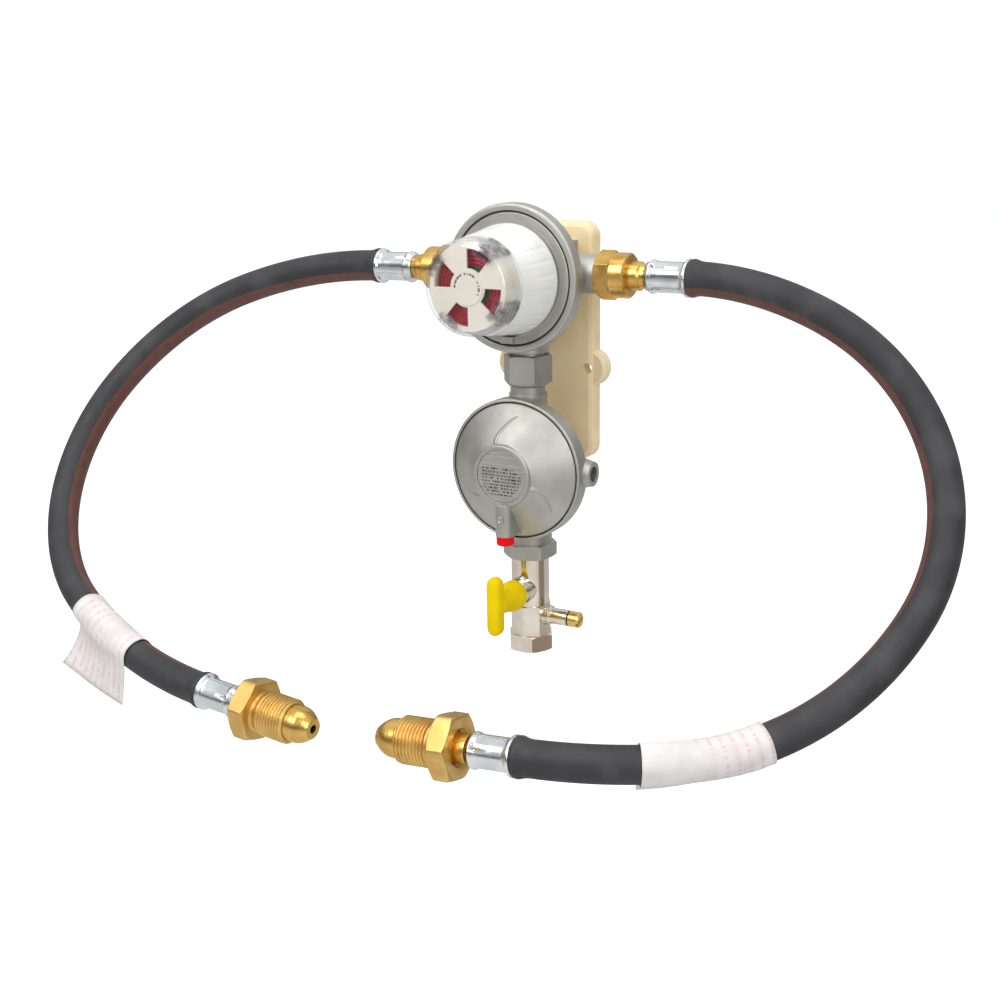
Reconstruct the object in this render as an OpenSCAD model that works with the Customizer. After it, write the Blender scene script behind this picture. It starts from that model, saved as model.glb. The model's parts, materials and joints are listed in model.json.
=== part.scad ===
// Two-cylinder LPG changeover set: wall bracket, changeover regulator, second-stage regulator,
// ball valve with test point, and two flexible hoses with bull-nose cylinder fittings.
// +Z is up and the wall is the plane y = 0; the set stands out from it towards -Y.
// The origin is on the wall, midway between the two wall screws of the bracket.

/* [Wall bracket] */
// Width of the bracket's plate
bracket_w = 53; // [50:1:56]
// Height of the bracket's plate
bracket_h = 129.6; // [128:0.4:134]
// Depth of the bracket, from the wall to its front face
bracket_d = 9.3; // [8.8:0.1:9.8]
// Distance between the two wall screws
wall_screw_pitch = 46; // [44:1:48]
// Diameter of the wall screw holes
wall_screw_hole = 5.5; // [4.5:0.1:6]

/* [Layout] */
// Distance from the wall to the pipe axis
axis_out = 34; // [33.5:0.5:36]
// Height of the two inlets above the wall screws
inlet_z = 54; // [52:1:56]
// Distance from the pipe axis to the end of each inlet ferrule
inlet_reach = 92; // [92:1:96]
// Height of the second-stage regulator's centre, from the inlets
stage2_drop = -104.2; // [-105:0.1:-103.8]
// Height of the valve's stem axis, from the inlets
stem_drop = -174.2; // [-174.4:0.1:-173.8]

/* [Regulators] */
// Outer radius of the changeover body
changeover_r = 38.5; // [38.2:0.1:40]
// Outer radius of the second-stage body
stage2_r = 39; // [38.8:0.1:40]
// Radius of the selector knob at its foot
knob_r = 28.5; // [28:0.1:28.8]
// Number of flutes around the knob
knob_flutes = 24; // [16:1:28]

/* [Hoses] */
// Outer radius of the hose
hose_r = 8.5; // [8.2:0.1:8.6]
// Radius of the bore of the hose
hose_bore_r = 4.05; // [4.05:0.01:4.2]
// Right hose, first bend: length, radius and direction around the hose (0 up, 90 towards the front)
right_bend_1 = [72, 136, -161]; // [-400:1:400]
// Right hose, second bend
right_bend_2 = [166, 103, 140]; // [-400:1:400]
// Right hose, third bend
right_bend_3 = [136, 151, 132]; // [-400:1:400]
// Right hose, fourth bend
right_bend_4 = [66, 107, -157]; // [-400:1:400]
// Left hose, first bend
left_bend_1 = [95, 236, -150]; // [-400:1:400]
// Left hose, second bend
left_bend_2 = [91, 137, -142]; // [-400:1:400]
// Left hose, third bend
left_bend_3 = [158, 103, -141]; // [-400:1:400]
// Left hose, fourth bend
left_bend_4 = [117, 251, -150]; // [-400:1:400]

/* [Date tags] */
// Start of the left tag along its hose
left_tag_from = 356; // [340:1:360]
// End of the left tag
left_tag_to = 408; // [400:1:420]
// Direction in which the left tag's tail hangs, as an angle around the hose
left_tag_hang = -80; // [-180:5:180]
// Length of the left tag's tail
left_tag_tail = 24; // [8:1:24]
// Start of the right tag along its hose
right_tag_from = 329; // [320:1:340]
// End of the right tag
right_tag_to = 386; // [370:1:395]
// Direction in which the right tag's tail hangs
right_tag_hang = 115; // [-180:5:180]
// Length of the right tag's tail
right_tag_tail = 12; // [8:1:24]

/* [Cylinder fitting] */
// Diameter over the left-hand thread of the cylinder fitting
pol_thread_d = 22.35; // [22.2:0.05:22.4]
// Width across flats of its hexagon
pol_hex = 28.6; // [28:0.2:30]

/* [Quality] */
// Sides of the flexible hoses
hose_sides = 20; // [16:2:24]
// Facets of round parts
$fn = 64; // [48:8:96]

/* [Hidden] */

// Gap between parts that turn on one another
running = 0.05;
// Gap between parts that only pass one another
gap = 0.3;
// Overlap that joins two solids of one part, or carries a cut clear of a face
lap = 0.5;

changeover_z = inlet_z - 2;
stage2_z = inlet_z + stage2_drop;
stem_z = inlet_z + stem_drop;
bracket_top = inlet_z + 24.4;

die_cast = "#9fa3a4";
rubber_black = "#2b2b2d";
cream = "#e9dcc3";
brass_yellow = "#c99a35";
zinc = "#c5ced2";
nickel = "#c9c0b2";
spring_steel = "#b8bcc0";

// ---- Placing -----------------------------------------------------------------------------------

// On the pipe axis at a height, with local +Z towards the front and local +Y up
module outward(z) {
    translate([0, -axis_out, z]) rotate([90, 0, 0]) children();
}

// On the pipe axis at a height, with local +Z up
module upright(z) {
    translate([0, -axis_out, z]) children();
}

// On the pipe axis at a height, with local +Z towards side (1 right, -1 left)
module sideways(z, side) {
    translate([0, -axis_out, z]) rotate([0, 90 * side, 0]) children();
}

// At the mouth of an inlet ferrule, with local +Z back towards the changeover body
module at_inlet(side) {
    translate([side * inlet_reach, -axis_out, inlet_z]) rotate([0, -90 * side, 0]) children();
}

// ---- Shared shapes -----------------------------------------------------------------------------

module tube(r, bore, z0, z1) {
    difference() {
        translate([0, 0, z0]) cylinder(r = r, h = z1 - z0);
        translate([0, 0, z0 - lap]) cylinder(r = bore, h = z1 - z0 + 2 * lap);
    }
}

module rod(r, z0, z1) {
    translate([0, 0, z0]) cylinder(r = r, h = z1 - z0);
}

// Hexagonal bar, measured across its flats
module hex(across, z0, z1, turn = 0) {
    rotate([0, 0, turn]) translate([0, 0, z0]) cylinder(d = across / cos(30), h = z1 - z0, $fn = 6);
}

// Hexagon with its corners turned off at both ends
module chamfered_hex(across, z0, z1, turn = 0) {
    corner = across / 2 / cos(30);
    cut = corner * 0.1;
    intersection() {
        hex(across, z0, z1, turn);
        rotate_extrude() polygon([
            [0, z0], [corner - cut, z0], [corner, z0 + cut / 2],
            [corner, z1 - cut / 2], [corner - cut, z1], [0, z1]
        ]);
    }
}

module box(size, at) {
    translate(at - size / 2) cube(size);
}

// Quarter-round outline points about a centre, from angle a0 to a1
function arc(c, r, a0, a1, steps = 6) =
    [for (i = [0:steps]) let (a = a0 + (a1 - a0) * i / steps) [c[0] + r * cos(a), c[1] + r * sin(a)]];

// ---- Grids of points joined into a skin --------------------------------------------------------

// Triangles between row a and row b of a grid whose rows close on themselves
function strip(a, b, n) = [
    for (j = [0:n - 1])
        let (k = (j + 1) % n)
            each [[a * n + j, a * n + k, b * n + k], [a * n + j, b * n + k, b * n + j]]
];

// A ring-shaped solid: every row is a loop and the last row joins the first
module ring_skin(rows) {
    n = len(rows[0]);
    m = len(rows);
    polyhedron(
        points = [for (row = rows) each row],
        faces = [for (i = [0:m - 1]) each strip(i, (i + 1) % m, n)],
        convexity = 6
    );
}

// A bar-shaped solid: every row is a thin loop of two edges, and both ends are closed
module bar_skin(rows) {
    n = len(rows[0]);
    m = len(rows);
    half = n / 2;
    polyhedron(
        points = [for (row = rows) each row],
        faces = concat(
            [for (i = [0:m - 2]) each strip(i, i + 1, n)],
            [for (j = [0:half - 2]) each [[j, n - 1 - j, j + 1], [j + 1, n - 1 - j, n - 2 - j]]],
            [for (j = [0:half - 2]) let (o = (m - 1) * n)
                each [[o + j, o + j + 1, o + n - 1 - j], [o + j + 1, o + n - 2 - j, o + n - 1 - j]]]
        ),
        convexity = 6
    );
}

// Coil spring about local Z, with plain open ends
module coil(r, wire, z0, z1, turns) {
    steps = turns * 14;
    sides = 6;
    bar_skin([
        for (i = [0:steps])
            let (a = 360 * i / 14, z = z0 + wire + (z1 - z0 - 2 * wire) * i / steps)
                [for (j = [0:sides - 1])
                    let (b = -360 * j / sides, q = r + wire * cos(b))
                        [q * cos(a), q * sin(a), z + wire * sin(b)]]
    ]);
}

// ---- Hose path ---------------------------------------------------------------------------------
// A frame is [point, direction, up, side]. The hose is a chain of round bends, each given by its
// length, its radius and the direction it bends towards, as an angle around the hose.

function unit(v) = v / norm(v);

// Vector v turned by angle a about the unit axis k
function turned(v, k, a) = v * cos(a) + cross(k, v) * sin(a) + k * (k * v) * (1 - cos(a));

function along_bend(f, bend, s) =
    let (
        inward = cos(bend[2]) * f[2] + sin(bend[2]) * f[3],
        axis = cross(f[1], inward),
        a = s / bend[1] * 180 / PI
    )
    [
        f[0] + inward * bend[1] * (1 - cos(a)) + f[1] * bend[1] * sin(a),
        turned(f[1], axis, a), turned(f[2], axis, a), turned(f[3], axis, a)
    ];

function straight_on(f, s) = [f[0] + f[1] * s, f[1], f[2], f[3]];

// Frame at distance s along the bends from frame f, straight before the first and after the last
function along_hose(f, bends, s, i = 0) =
    s < 0 || i == len(bends) ? straight_on(f, s)
    : s <= bends[i][0] ? along_bend(f, bends[i], s)
    : along_hose(along_bend(f, bends[i], bends[i][0]), bends, s - bends[i][0], i + 1);

function hose_start(side) =
    [[side * inlet_reach, -axis_out, inlet_z], [side, 0, 0], [0, 0, 1], [0, -side, 0]];

right_bends = [right_bend_1, right_bend_2, right_bend_3, right_bend_4];
left_bends = [left_bend_1, left_bend_2, left_bend_3, left_bend_4];

function bends_of(side) = side > 0 ? right_bends : left_bends;

function hose_length(side) = let (b = bends_of(side)) b[0][0] + b[1][0] + b[2][0] + b[3][0];

function hose_frame(side, s) = along_hose(hose_start(side), bends_of(side), s);

// The hose is cut in two at its outermost point, on a ball, so that it can flex there
flex_at = 200;
flex_ball = 12;

module at_hose_end(side) {
    f = hose_frame(side, hose_length(side));
    multmatrix([
        [f[2][0], f[3][0], f[1][0], f[0][0]],
        [f[2][1], f[3][1], f[1][1], f[0][1]],
        [f[2][2], f[3][2], f[1][2], f[0][2]],
        [0, 0, 0, 1]
    ]) children();
}

function ring_about(f, r) = [
    for (j = [0:hose_sides - 1])
        let (a = -360 * j / hose_sides)
            f[0] + r * (cos(a) * f[2] + sin(a) * f[3])
];

// A ring of radius r moved onto the flex ball, on the side towards or away from the inlet
function ball_ring(side, ball, r, way) =
    let (c = hose_frame(side, flex_at), f = straight_on(c, way * sqrt(ball * ball - r * r)))
        [for (p = ring_about(f, r)) c[0] + ball * unit(p - c[0])];

// The crimp grips this much of the hose, and the hose bulges out of its mouth over mouth_length
crimp_length = 21;
crimp_r = 6.9;
mouth_r = 9.6;
mouth_length = 6;

// Outer rings of one hose end, as [distance from the mouth, radius], starting inside the crimp
mouth_profile = [
    [-crimp_length, crimp_r], [-2.4, crimp_r], [-0.1, 8.5], [0.6, 9.4], [1.6, mouth_r],
    [3, 9.3], [4.6, 8.8], [mouth_length, hose_r]
];

// Distances of the plain rings between the mouth and the flex point
function plain_stations(s0, s1) =
    let (count = ceil(abs(s1 - s0) / 15)) [for (i = [1:count]) s0 + (s1 - s0) * i / count];

module hose_upper(side) {
    near = mouth_length;
    far = flex_at - 2;
    color(rubber_black) ring_skin(concat(
        [for (p = mouth_profile) ring_about(hose_frame(side, p[0]), p[1])],
        [for (s = plain_stations(near, far - flex_ball / 2)) ring_about(hose_frame(side, s), hose_r)],
        [for (r = [hose_r, (hose_r + hose_bore_r) / 2, hose_bore_r]) ball_ring(side, flex_ball, r, 1)],
        [for (s = plain_stations(far, -crimp_length)) ring_about(hose_frame(side, s), hose_bore_r)]
    ));
}

module hose_lower(side) {
    total = hose_length(side);
    socket = flex_ball + gap;
    near = flex_at + flex_ball + 2;
    color(rubber_black) ring_skin(concat(
        [for (r = [hose_bore_r, (hose_r + hose_bore_r) / 2, hose_r]) ball_ring(side, socket, r, 1)],
        [for (s = plain_stations(near, total - mouth_length)) ring_about(hose_frame(side, s), hose_r)],
        [for (i = [len(mouth_profile) - 2:-1:0]) let (p = mouth_profile[i])
            ring_about(hose_frame(side, total - p[0]), p[1])],
        [ring_about(hose_frame(side, total + crimp_length), hose_bore_r)],
        [for (s = plain_stations(total + crimp_length, near + 2))
            ring_about(hose_frame(side, s), hose_bore_r)]
    ));
}

// ---- Hose ends ---------------------------------------------------------------------------------
// Local Z runs from the mouth of the ferrule into the fitting.

ferrule_length = 23;

module ferrule() {
    color(zinc) rotate_extrude() polygon(concat(
        [[8.9, 0], [9.2, 0]], arc([9.0, 0.9], 0.7, -60, 80, 4),
        [[8.4, 2.4], [7.9, 3.4], [7.9, 18.6]], arc([7.7, 20.2], 1.0, -60, 60, 5),
        [[7.7, 21.4], [7.3, ferrule_length], [4.4, ferrule_length], [4.4, 21.8], [7.1, 21.4], [7.1, 2.5]]
    ));
}

// Insert of a hose end, inside the hose
insert_r = 3.7;

module insert(z1) {
    rod(insert_r, 1, z1);
}

tail_bore_r = 2.2;
nut_from_mouth = inlet_reach - 60;

module inlet_tail(side) {
    collar = nut_from_mouth + 6;
    color(brass_yellow) at_inlet(side) difference() {
        union() {
            insert(ferrule_length + lap);
            rotate_extrude() polygon([
                [0, 23.1], [6.2, 23.1], [6.4, 25.4], [7.4, 26.6], [7.4, collar + 0.05],
                [8.3, collar + 0.05], [8.3, collar + 2.4], [7, collar + 2.7], [0, collar + 2.7]
            ]);
        }
        rod(3, 0, collar + 4);
    }
}

module inlet_nut(side) {
    z0 = nut_from_mouth;
    color(brass_yellow) at_inlet(side) difference() {
        union() {
            rotate_extrude() polygon([
                [0, z0], [10.6, z0], [11.5, z0 + 0.9], [11.5, z0 + 8.2], [0, z0 + 8.2]
            ]);
            chamfered_hex(22, z0 + 8, z0 + 16.8);
        }
        rod(7.4 + running, z0 - lap, z0 + 6.2);
        rod(8.3 + 2 * running, z0 + 6, z0 + 17.3);
    }
}

// Places along the cylinder fitting, from the mouth of its ferrule
pol_hex_at = 28.2;
pol_thread_at = 37.7;
pol_nose_at = 58.2;
pol_tip_at = 70;
pol_shank_r = 7;

module pol_tail(side) {
    nose_r = 9.2;
    tip_r = 5;
    color(brass_yellow) at_hose_end(side) difference() {
        union() {
            insert(ferrule_length + lap);
            rod(pol_shank_r, ferrule_length + 0.1, pol_nose_at);
            rotate_extrude() polygon(concat(
                [[0, pol_nose_at - 0.1], [nose_r, pol_nose_at - 0.1], [nose_r, pol_nose_at + 2.6]],
                [for (i = [1:6]) let (a = 90 * i / 6)
                    [tip_r + (nose_r - tip_r) * cos(a),
                     pol_nose_at + 2.6 + (pol_tip_at - pol_nose_at - 2.6) * pow(i / 6, 0.85)]],
                [[0, pol_tip_at]]
            ));
        }
        rod(tail_bore_r, 0, pol_tip_at + lap);
    }
}

module pol_nut(side) {
    color(brass_yellow) at_hose_end(side) difference() {
        union() {
            chamfered_hex(pol_hex, pol_hex_at, pol_thread_at, 30);
            rod(9.6, pol_thread_at - lap, pol_thread_at + 3);
            rod(pol_thread_d / 2, pol_thread_at + 2.9, pol_nose_at - 0.2);
        }
        rod(pol_shank_r + running, pol_hex_at - lap, pol_nose_at + lap);
        rod(8.6, pol_hex_at - lap, pol_hex_at + 2.5);
    }
}

// ---- Date tags ---------------------------------------------------------------------------------
// A strip of paper wrapped round the hose, its tail stuck on itself and left hanging.

tag_t = 0.35;
tag_wrap_r = hose_r + 0.8;

// Middle line of the strip across the hose: once round, then straight off along its tail
function tag_line(hang, tail) = concat(
    [for (i = [0:20]) let (a = hang + 8 + 337 * i / 20) tag_wrap_r * [cos(a), sin(a)]],
    [for (k = [0.3, 0.65, 1])
        tag_wrap_r * [cos(hang), sin(hang)] + tail * k * [cos(hang), sin(hang)]
        + 1.2 * [sin(hang), -cos(hang)]]
);

function tag_normal(line, i) =
    let (d = unit(line[min(i + 1, len(line) - 1)] - line[max(i - 1, 0)])) [d[1], -d[0]];

function tag_loop(line) = concat(
    [for (i = [0:len(line) - 1]) line[i] + tag_t / 2 * tag_normal(line, i)],
    [for (i = [len(line) - 1:-1:0]) line[i] - tag_t / 2 * tag_normal(line, i)]
);

module date_tag(side, s0, s1, hang, tail) {
    loop = tag_loop(tag_line(hang, tail));
    color("#efeae6") bar_skin([
        for (k = [0:6])
            let (f = hose_frame(side, s0 + (s1 - s0) * k / 6))
                [for (p = loop) f[0] + p[0] * f[2] - p[1] * f[3]]
    ]);
}

// ---- Wall bracket ------------------------------------------------------------------------------

bracket_wall = 2.5;
ear_r = 10.3;
body_screw_x = 14;

module rounded_plate(w, h, r, y0, y1) {
    for (x = [-1, 1], z = [-1, 1])
        translate([x * (w / 2 - r), y0, z * (h / 2 - r)]) rotate([-90, 0, 0])
            cylinder(r = r, h = y1 - y0, $fn = 32);
}

module wall_bracket() {
    mid = bracket_top - bracket_h / 2;
    corner = 8;
    soft = 2.6;
    inner_w = bracket_w - 2 * bracket_wall;
    inner_h = bracket_h - 2 * bracket_wall;
    color(cream) difference() {
        union() {
            translate([0, 0, mid]) hull() {
                rounded_plate(bracket_w, bracket_h, corner, soft - bracket_d, 0);
                rounded_plate(bracket_w - 1.5, bracket_h - 1.5, corner - 0.75, 0.8 - bracket_d, 0);
                rounded_plate(bracket_w - 2 * soft, bracket_h - 2 * soft, corner - soft, -bracket_d, 0);
            }
            for (x = [-1, 1]) translate([x * wall_screw_pitch / 2, 0, 0]) rotate([90, 0, 0])
                rotate_extrude() polygon([
                    [0, 0], [ear_r, 0], [ear_r, bracket_d - 3], [ear_r - 1.6, bracket_d - 1.4],
                    [0, bracket_d - 1.4]
                ]);
        }
        difference() {
            translate([-inner_w / 2, bracket_wall - bracket_d, mid - inner_h / 2])
                cube([inner_w, bracket_d, inner_h]);
            for (x = [-1, 1]) translate([x * wall_screw_pitch / 2, lap, 0]) rotate([90, 0, 0])
                cylinder(r = ear_r - 2, h = bracket_d + 2 * lap);
        }
        for (x = [-1, 1]) translate([x * wall_screw_pitch / 2, lap, 0]) rotate([90, 0, 0])
            cylinder(d = wall_screw_hole, h = bracket_d + 2 * lap);
        for (x = [-1, 1]) translate([x * body_screw_x, lap, changeover_z]) rotate([90, 0, 0])
            cylinder(r = 2.3, h = bracket_d + 2 * lap);
    }
}

module bracket_screws() {
    head_back = bracket_wall - bracket_d;
    color(spring_steel) for (x = [-1, 1])
        translate([x * body_screw_x, head_back, changeover_z]) rotate([90, 0, 0]) difference() {
            union() {
                rotate_extrude() polygon([[0, 0], [3.9, 0], [3.9, -1.2], [2.8, -2.3], [0, -2.3]]);
                cylinder(r = 1.95, h = bracket_wall + 9);
            }
            box([0.9, 8, 1.6], [0, 0, -2.3]);
            box([8, 0.9, 1.6], [0, 0, -2.3]);
        }
}

// ---- Changeover regulator ----------------------------------------------------------------------
// Places are measured forward of the pipe axis.

pad_back = axis_out - bracket_d;
seat_front = 12;
bonnet_r = 34;
cavity_r = 29;
lip_r = bonnet_r + 0.85;
port_r = 10;
port_end = 42.8;
port_bore = 4.5;
rocker_pivot = -3.4;

module changeover_body() {
    color(die_cast) outward(changeover_z) difference() {
        union() {
            difference() {
                changeover_body_outside();
                rotate_extrude() polygon([
                    [0, -7], [cavity_r - 2, -7], [cavity_r, -5], [cavity_r, seat_front],
                    [lip_r, seat_front], [lip_r, 19.2], [lip_r + 0.8, 20], [0, 20]
                ]);
            }
            for (z = [-1, 1]) box([6, 3, 8], [0, 5.9 * z, -4.4]);
        }
        translate([0, 2, 0]) for (side = [-1, 1]) rotate([0, 90 * side, 0]) {
            rod(port_bore, 26, port_end - 3);
            rod(2.4, 30, port_end + 9);
        }
        rotate([90, 0, 0]) rod(5, 20, 51);
        translate([0, 0, rocker_pivot]) rotate([90, 0, 0]) rod(1.5 + running, -8, 8);
        for (x = [-1, 1]) translate([x * body_screw_x, 0, 0]) rod(1.97, -pad_back - lap, -pad_back + 10);
    }
}

module changeover_body_outside() {
    rotate_extrude() polygon(concat(
        [[0, -14], [20, -14], [27, -8], [33, 2], [36.5, 8.5], [changeover_r, 12]],
        arc([changeover_r - 1.6, 18], 1.6, 0, 90, 4),
        [[0, 19.6]]
    ));
    box([35, 34, pad_back - 10], [0, 0, -pad_back / 2 - 5]);
    translate([0, 2, 0]) for (side = [-1, 1]) rotate([0, 90 * side, 0]) {
        rod(port_r, 20, port_end);
        rod(8.3, port_end - lap, port_end + 8);
    }
    rotate([90, 0, 0]) rod(11.5, 26, 40);
    rotate([90, 0, 0]) rod(9, 26, 49.8);
}

module changeover_diaphragm() {
    color(rubber_black) outward(changeover_z) rotate_extrude() polygon([
        [3.1, seat_front], [lip_r - 0.05, seat_front], [lip_r - 0.05, 19], [bonnet_r + 0.1, 19],
        [bonnet_r + 0.1, seat_front + 1.4], [3.1, seat_front + 1.4]
    ]);
}

module changeover_plate() {
    front = seat_front + 1.5;
    color(spring_steel) outward(changeover_z) {
        rod(3, 0.6, front + lap);
        rotate_extrude() polygon([
            [0, front], [20, front], [21.4, front + 0.6], [21.4, front + 1.3], [5, front + 1.3],
            [5, front + 4.2], [0, front + 4.2]
        ]);
    }
}

tower_end = 42;
spigot_end = 51.5;
drum_hub_r = 3.55;

module changeover_bonnet() {
    color(die_cast) outward(changeover_z) difference() {
        union() {
            rotate_extrude() polygon([
                [0, seat_front + 1.5], [bonnet_r, seat_front + 1.5], [bonnet_r, 18.7],
                [bonnet_r - 0.5, 19.2], [30, 18.6], [21.5, 19.1], [21, tower_end], [0, tower_end]
            ]);
            rod(8, tower_end - lap, spigot_end);
            box([7, 3.4, 6], [0, -31.2, 20.4]);
        }
        rod(26, seat_front, 16.8);
        rod(17.5, seat_front, tower_end - 2.6);
        rod(drum_hub_r + running, tower_end - 4, spigot_end + lap);
    }
}

module changeover_spring() {
    color(spring_steel) outward(changeover_z) coil(12.4, 1.1, seat_front + 3, tower_end - 2.8, 5);
}

module changeover_rocker() {
    color(brass_yellow) outward(changeover_z) translate([0, 0, rocker_pivot]) {
        box([40, 7, 2.4], [0, 0, 0]);
        rotate([90, 0, 0]) rod(1.5, -7.2, 7.2);
    }
}

module inlet_valve(side) {
    color(brass_yellow) sideways(inlet_z, side) {
        rod(4.45, 27.5, 37.6);
        rod(2, 22.5, 28);
    }
}

knob_back = 19.8;
knob_front = 50;

module changeover_knob() {
    top_r = knob_r - 3.5;
    color("#f4f4f2") outward(changeover_z) difference() {
        rotate_extrude() polygon([
            [knob_r - 2.4, knob_back], [knob_r - 0.5, knob_back], [knob_r, knob_back + 0.6],
            [knob_r - 0.1, knob_back + 3], [top_r, knob_front], [8 + running, knob_front],
            [8 + running, tower_end + 0.8], [11, tower_end + 0.8], [12, knob_front - 2.6],
            [top_r - 2.2, knob_front - 2.6]
        ]);
        for (i = [0:knob_flutes - 1]) rotate([0, 0, 360 * (i + 0.5) / knob_flutes])
            translate([knob_r + 5.5, 0, knob_back + 4]) rotate([0, -6.5, 0]) rod(6, 0, knob_front);
    }
}

dome_r = 24.2;
dome_face = 64.8;
dome_wall = 1.5;

module indicator_dome() {
    c = [dome_r - 5, dome_face - 5];
    color("#dfe9ee", 0.35) outward(changeover_z) rotate_extrude() polygon(concat(
        [[dome_r - dome_wall, knob_front], [dome_r + 0.5, knob_front], [dome_r + 0.5, knob_front + 1.2],
         [dome_r, knob_front + 1.6]],
        arc(c, 5, 0, 90, 8),
        [[0, dome_face], [0, dome_face - dome_wall]],
        arc(c, 5 - dome_wall, 90, 0, 8)
    ));
}

mask_back = 60.6;
mask_r = 21.6;
window_angle = 42;

module indicator_mask() {
    color("#efe6d6") outward(changeover_z) difference() {
        union() {
            rod(mask_r, mask_back, mask_back + 1);
            tube(mask_r, mask_r - 1, knob_front + 0.02, mask_back + 0.5);
            rotate_extrude() polygon([
                [0, mask_back + 0.5], [9, mask_back + 0.5], [8.6, mask_back + 1.6], [0, mask_back + 1.6]
            ]);
        }
        for (i = [0:3]) rotate([0, 0, 90 * i + 90 - window_angle]) window();
    }
}

// One window of the mask: a sector between two radii
module window() {
    translate([0, 0, mask_back - lap]) rotate_extrude(angle = window_angle)
        translate([9.6, 0]) square([9.4, 1 + 2 * lap]);
}

drum_back = 54;
drum_t = 2.6;

module indicator_drum() {
    color("#b3202b") outward(changeover_z) {
        rotate_extrude() polygon([
            [0, drum_back], [20, drum_back], [20, drum_back + drum_t - 0.4], [12, drum_back + drum_t],
            [0, drum_back + drum_t]
        ]);
        rod(drum_hub_r, tower_end - 6, drum_back + lap);
    }
}

module indicator_spring() {
    color(spring_steel) outward(changeover_z) coil(10.4, 0.4, knob_front + 0.1, drum_back - 0.1, 3);
}

// ---- Union -------------------------------------------------------------------------------------

module union_nut() {
    top = inlet_z - 43.7;
    color(die_cast) upright(0) difference() {
        union() {
            chamfered_hex(23.4, top - 15, top, 12);
            rotate_extrude() polygon([
                [0, top - 16.3], [10.8, top - 16.3], [11.6, top - 15.6], [11.6, top - 14], [0, top - 14]
            ]);
        }
        rod(7.5 + running, top - 17, top - 13);
        rod(9 + 2 * running, top - 13.3, top + lap);
    }
}

module union_nipple() {
    color(brass_yellow) upright(0) difference() {
        union() {
            rod(7.5, inlet_z - 70, inlet_z - 56.8);
            rod(8.9, inlet_z - 56.9, inlet_z - 53.6);
        }
        rod(5, inlet_z - 71, inlet_z - 53);
    }
}

module union_seal() {
    color(rubber_black) upright(0) tube(8.9, 5.2, inlet_z - 53.5, inlet_z - 51.95);
}

// ---- Second-stage regulator --------------------------------------------------------------------

stage2_cover_r = 36.6;
stage2_lip_r = stage2_cover_r + 0.75;
stage2_seat = 11;
stage2_cavity_r = 31;
disc_front = 32;
lever_pin_up = 13;
lever_pin_front = -6;
vent_front = 6;
vent_r = 4.28;
vent_end = 42;
outlet_r = 9.3;
// Hexagon of the outlet, as distances below the middle of the body
outlet_hex_top = 43.6;
outlet_hex_end = 51.8;

module stage2_body() {
    color(die_cast) outward(stage2_z) difference() {
        union() {
            difference() {
                stage2_body_outside();
                rotate_extrude() polygon([
                    [0, -9.5], [stage2_cavity_r - 2, -9.5], [stage2_cavity_r, -7],
                    [stage2_cavity_r, stage2_seat], [stage2_lip_r, stage2_seat],
                    [stage2_lip_r, 16.9], [stage2_lip_r + 0.6, 17.5], [0, 17.5]
                ]);
            }
            rotate([-90, 0, 0]) rod(6, 18, 32);
            for (x = [-1, 1]) box([2.6, 6, 7], [5.6 * x, lever_pin_up, lever_pin_front - 0.5]);
        }
        rotate([-90, 0, 0]) {
            rod(7.5 + 2 * running, 33.9, 44.5);
            rod(2, 27, 35);
            rod(3.4 + running, 17, 28);
        }
        rotate([90, 0, 0]) rod(6, 25, outlet_hex_end + lap);
        rotate([90, 0, 0]) rod(outlet_r, 39.5, outlet_hex_end + lap);
        translate([0, 0, vent_front]) rotate([0, 90, 0]) rod(vent_r, vent_end - 10, vent_end + lap);
        translate([0, lever_pin_up, lever_pin_front]) rotate([0, 90, 0]) rod(1.5 + running, -8, 8);
    }
}

module stage2_body_outside() {
    rotate_extrude() polygon(concat(
        [[0, -13], [16, -13], [27, -9.5], [33, -3], [36.5, 4], [stage2_r, 8]],
        arc([stage2_r - 1.2, 16], 1.2, 0, 90, 4),
        [[0, 17.2]]
    ));
    rotate([-90, 0, 0]) rod(9.2, 28, 43.8);
    rotate([-90, 0, 0]) rod(10.4, 26, 39.5);
    rotate([90, 0, 0]) rod(12.2, 26, outlet_hex_top + lap);
    rotate([90, 0, 0]) chamfered_hex(25.8, outlet_hex_top, outlet_hex_end, 38);
    translate([0, 0, vent_front]) rotate([0, 90, 0]) translate([0, 0, 28])
        cylinder(r1 = 10, r2 = 6.6, h = vent_end - 28);
}

module stage2_diaphragm() {
    color(rubber_black) outward(stage2_z) rotate_extrude() polygon([
        [2.6, stage2_seat], [stage2_lip_r - 0.05, stage2_seat], [stage2_lip_r - 0.05, 16.7],
        [stage2_cover_r + 0.05, 16.7], [stage2_cover_r + 0.05, stage2_seat + 1.2],
        [2.6, stage2_seat + 1.2]
    ]);
}

reset_front = 27.8;
reset_bottom = -33.5;
reset_bore = 3.9;
// Half the width of the rib that holds the reset button
reset_rib_r = 5.1;

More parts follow.
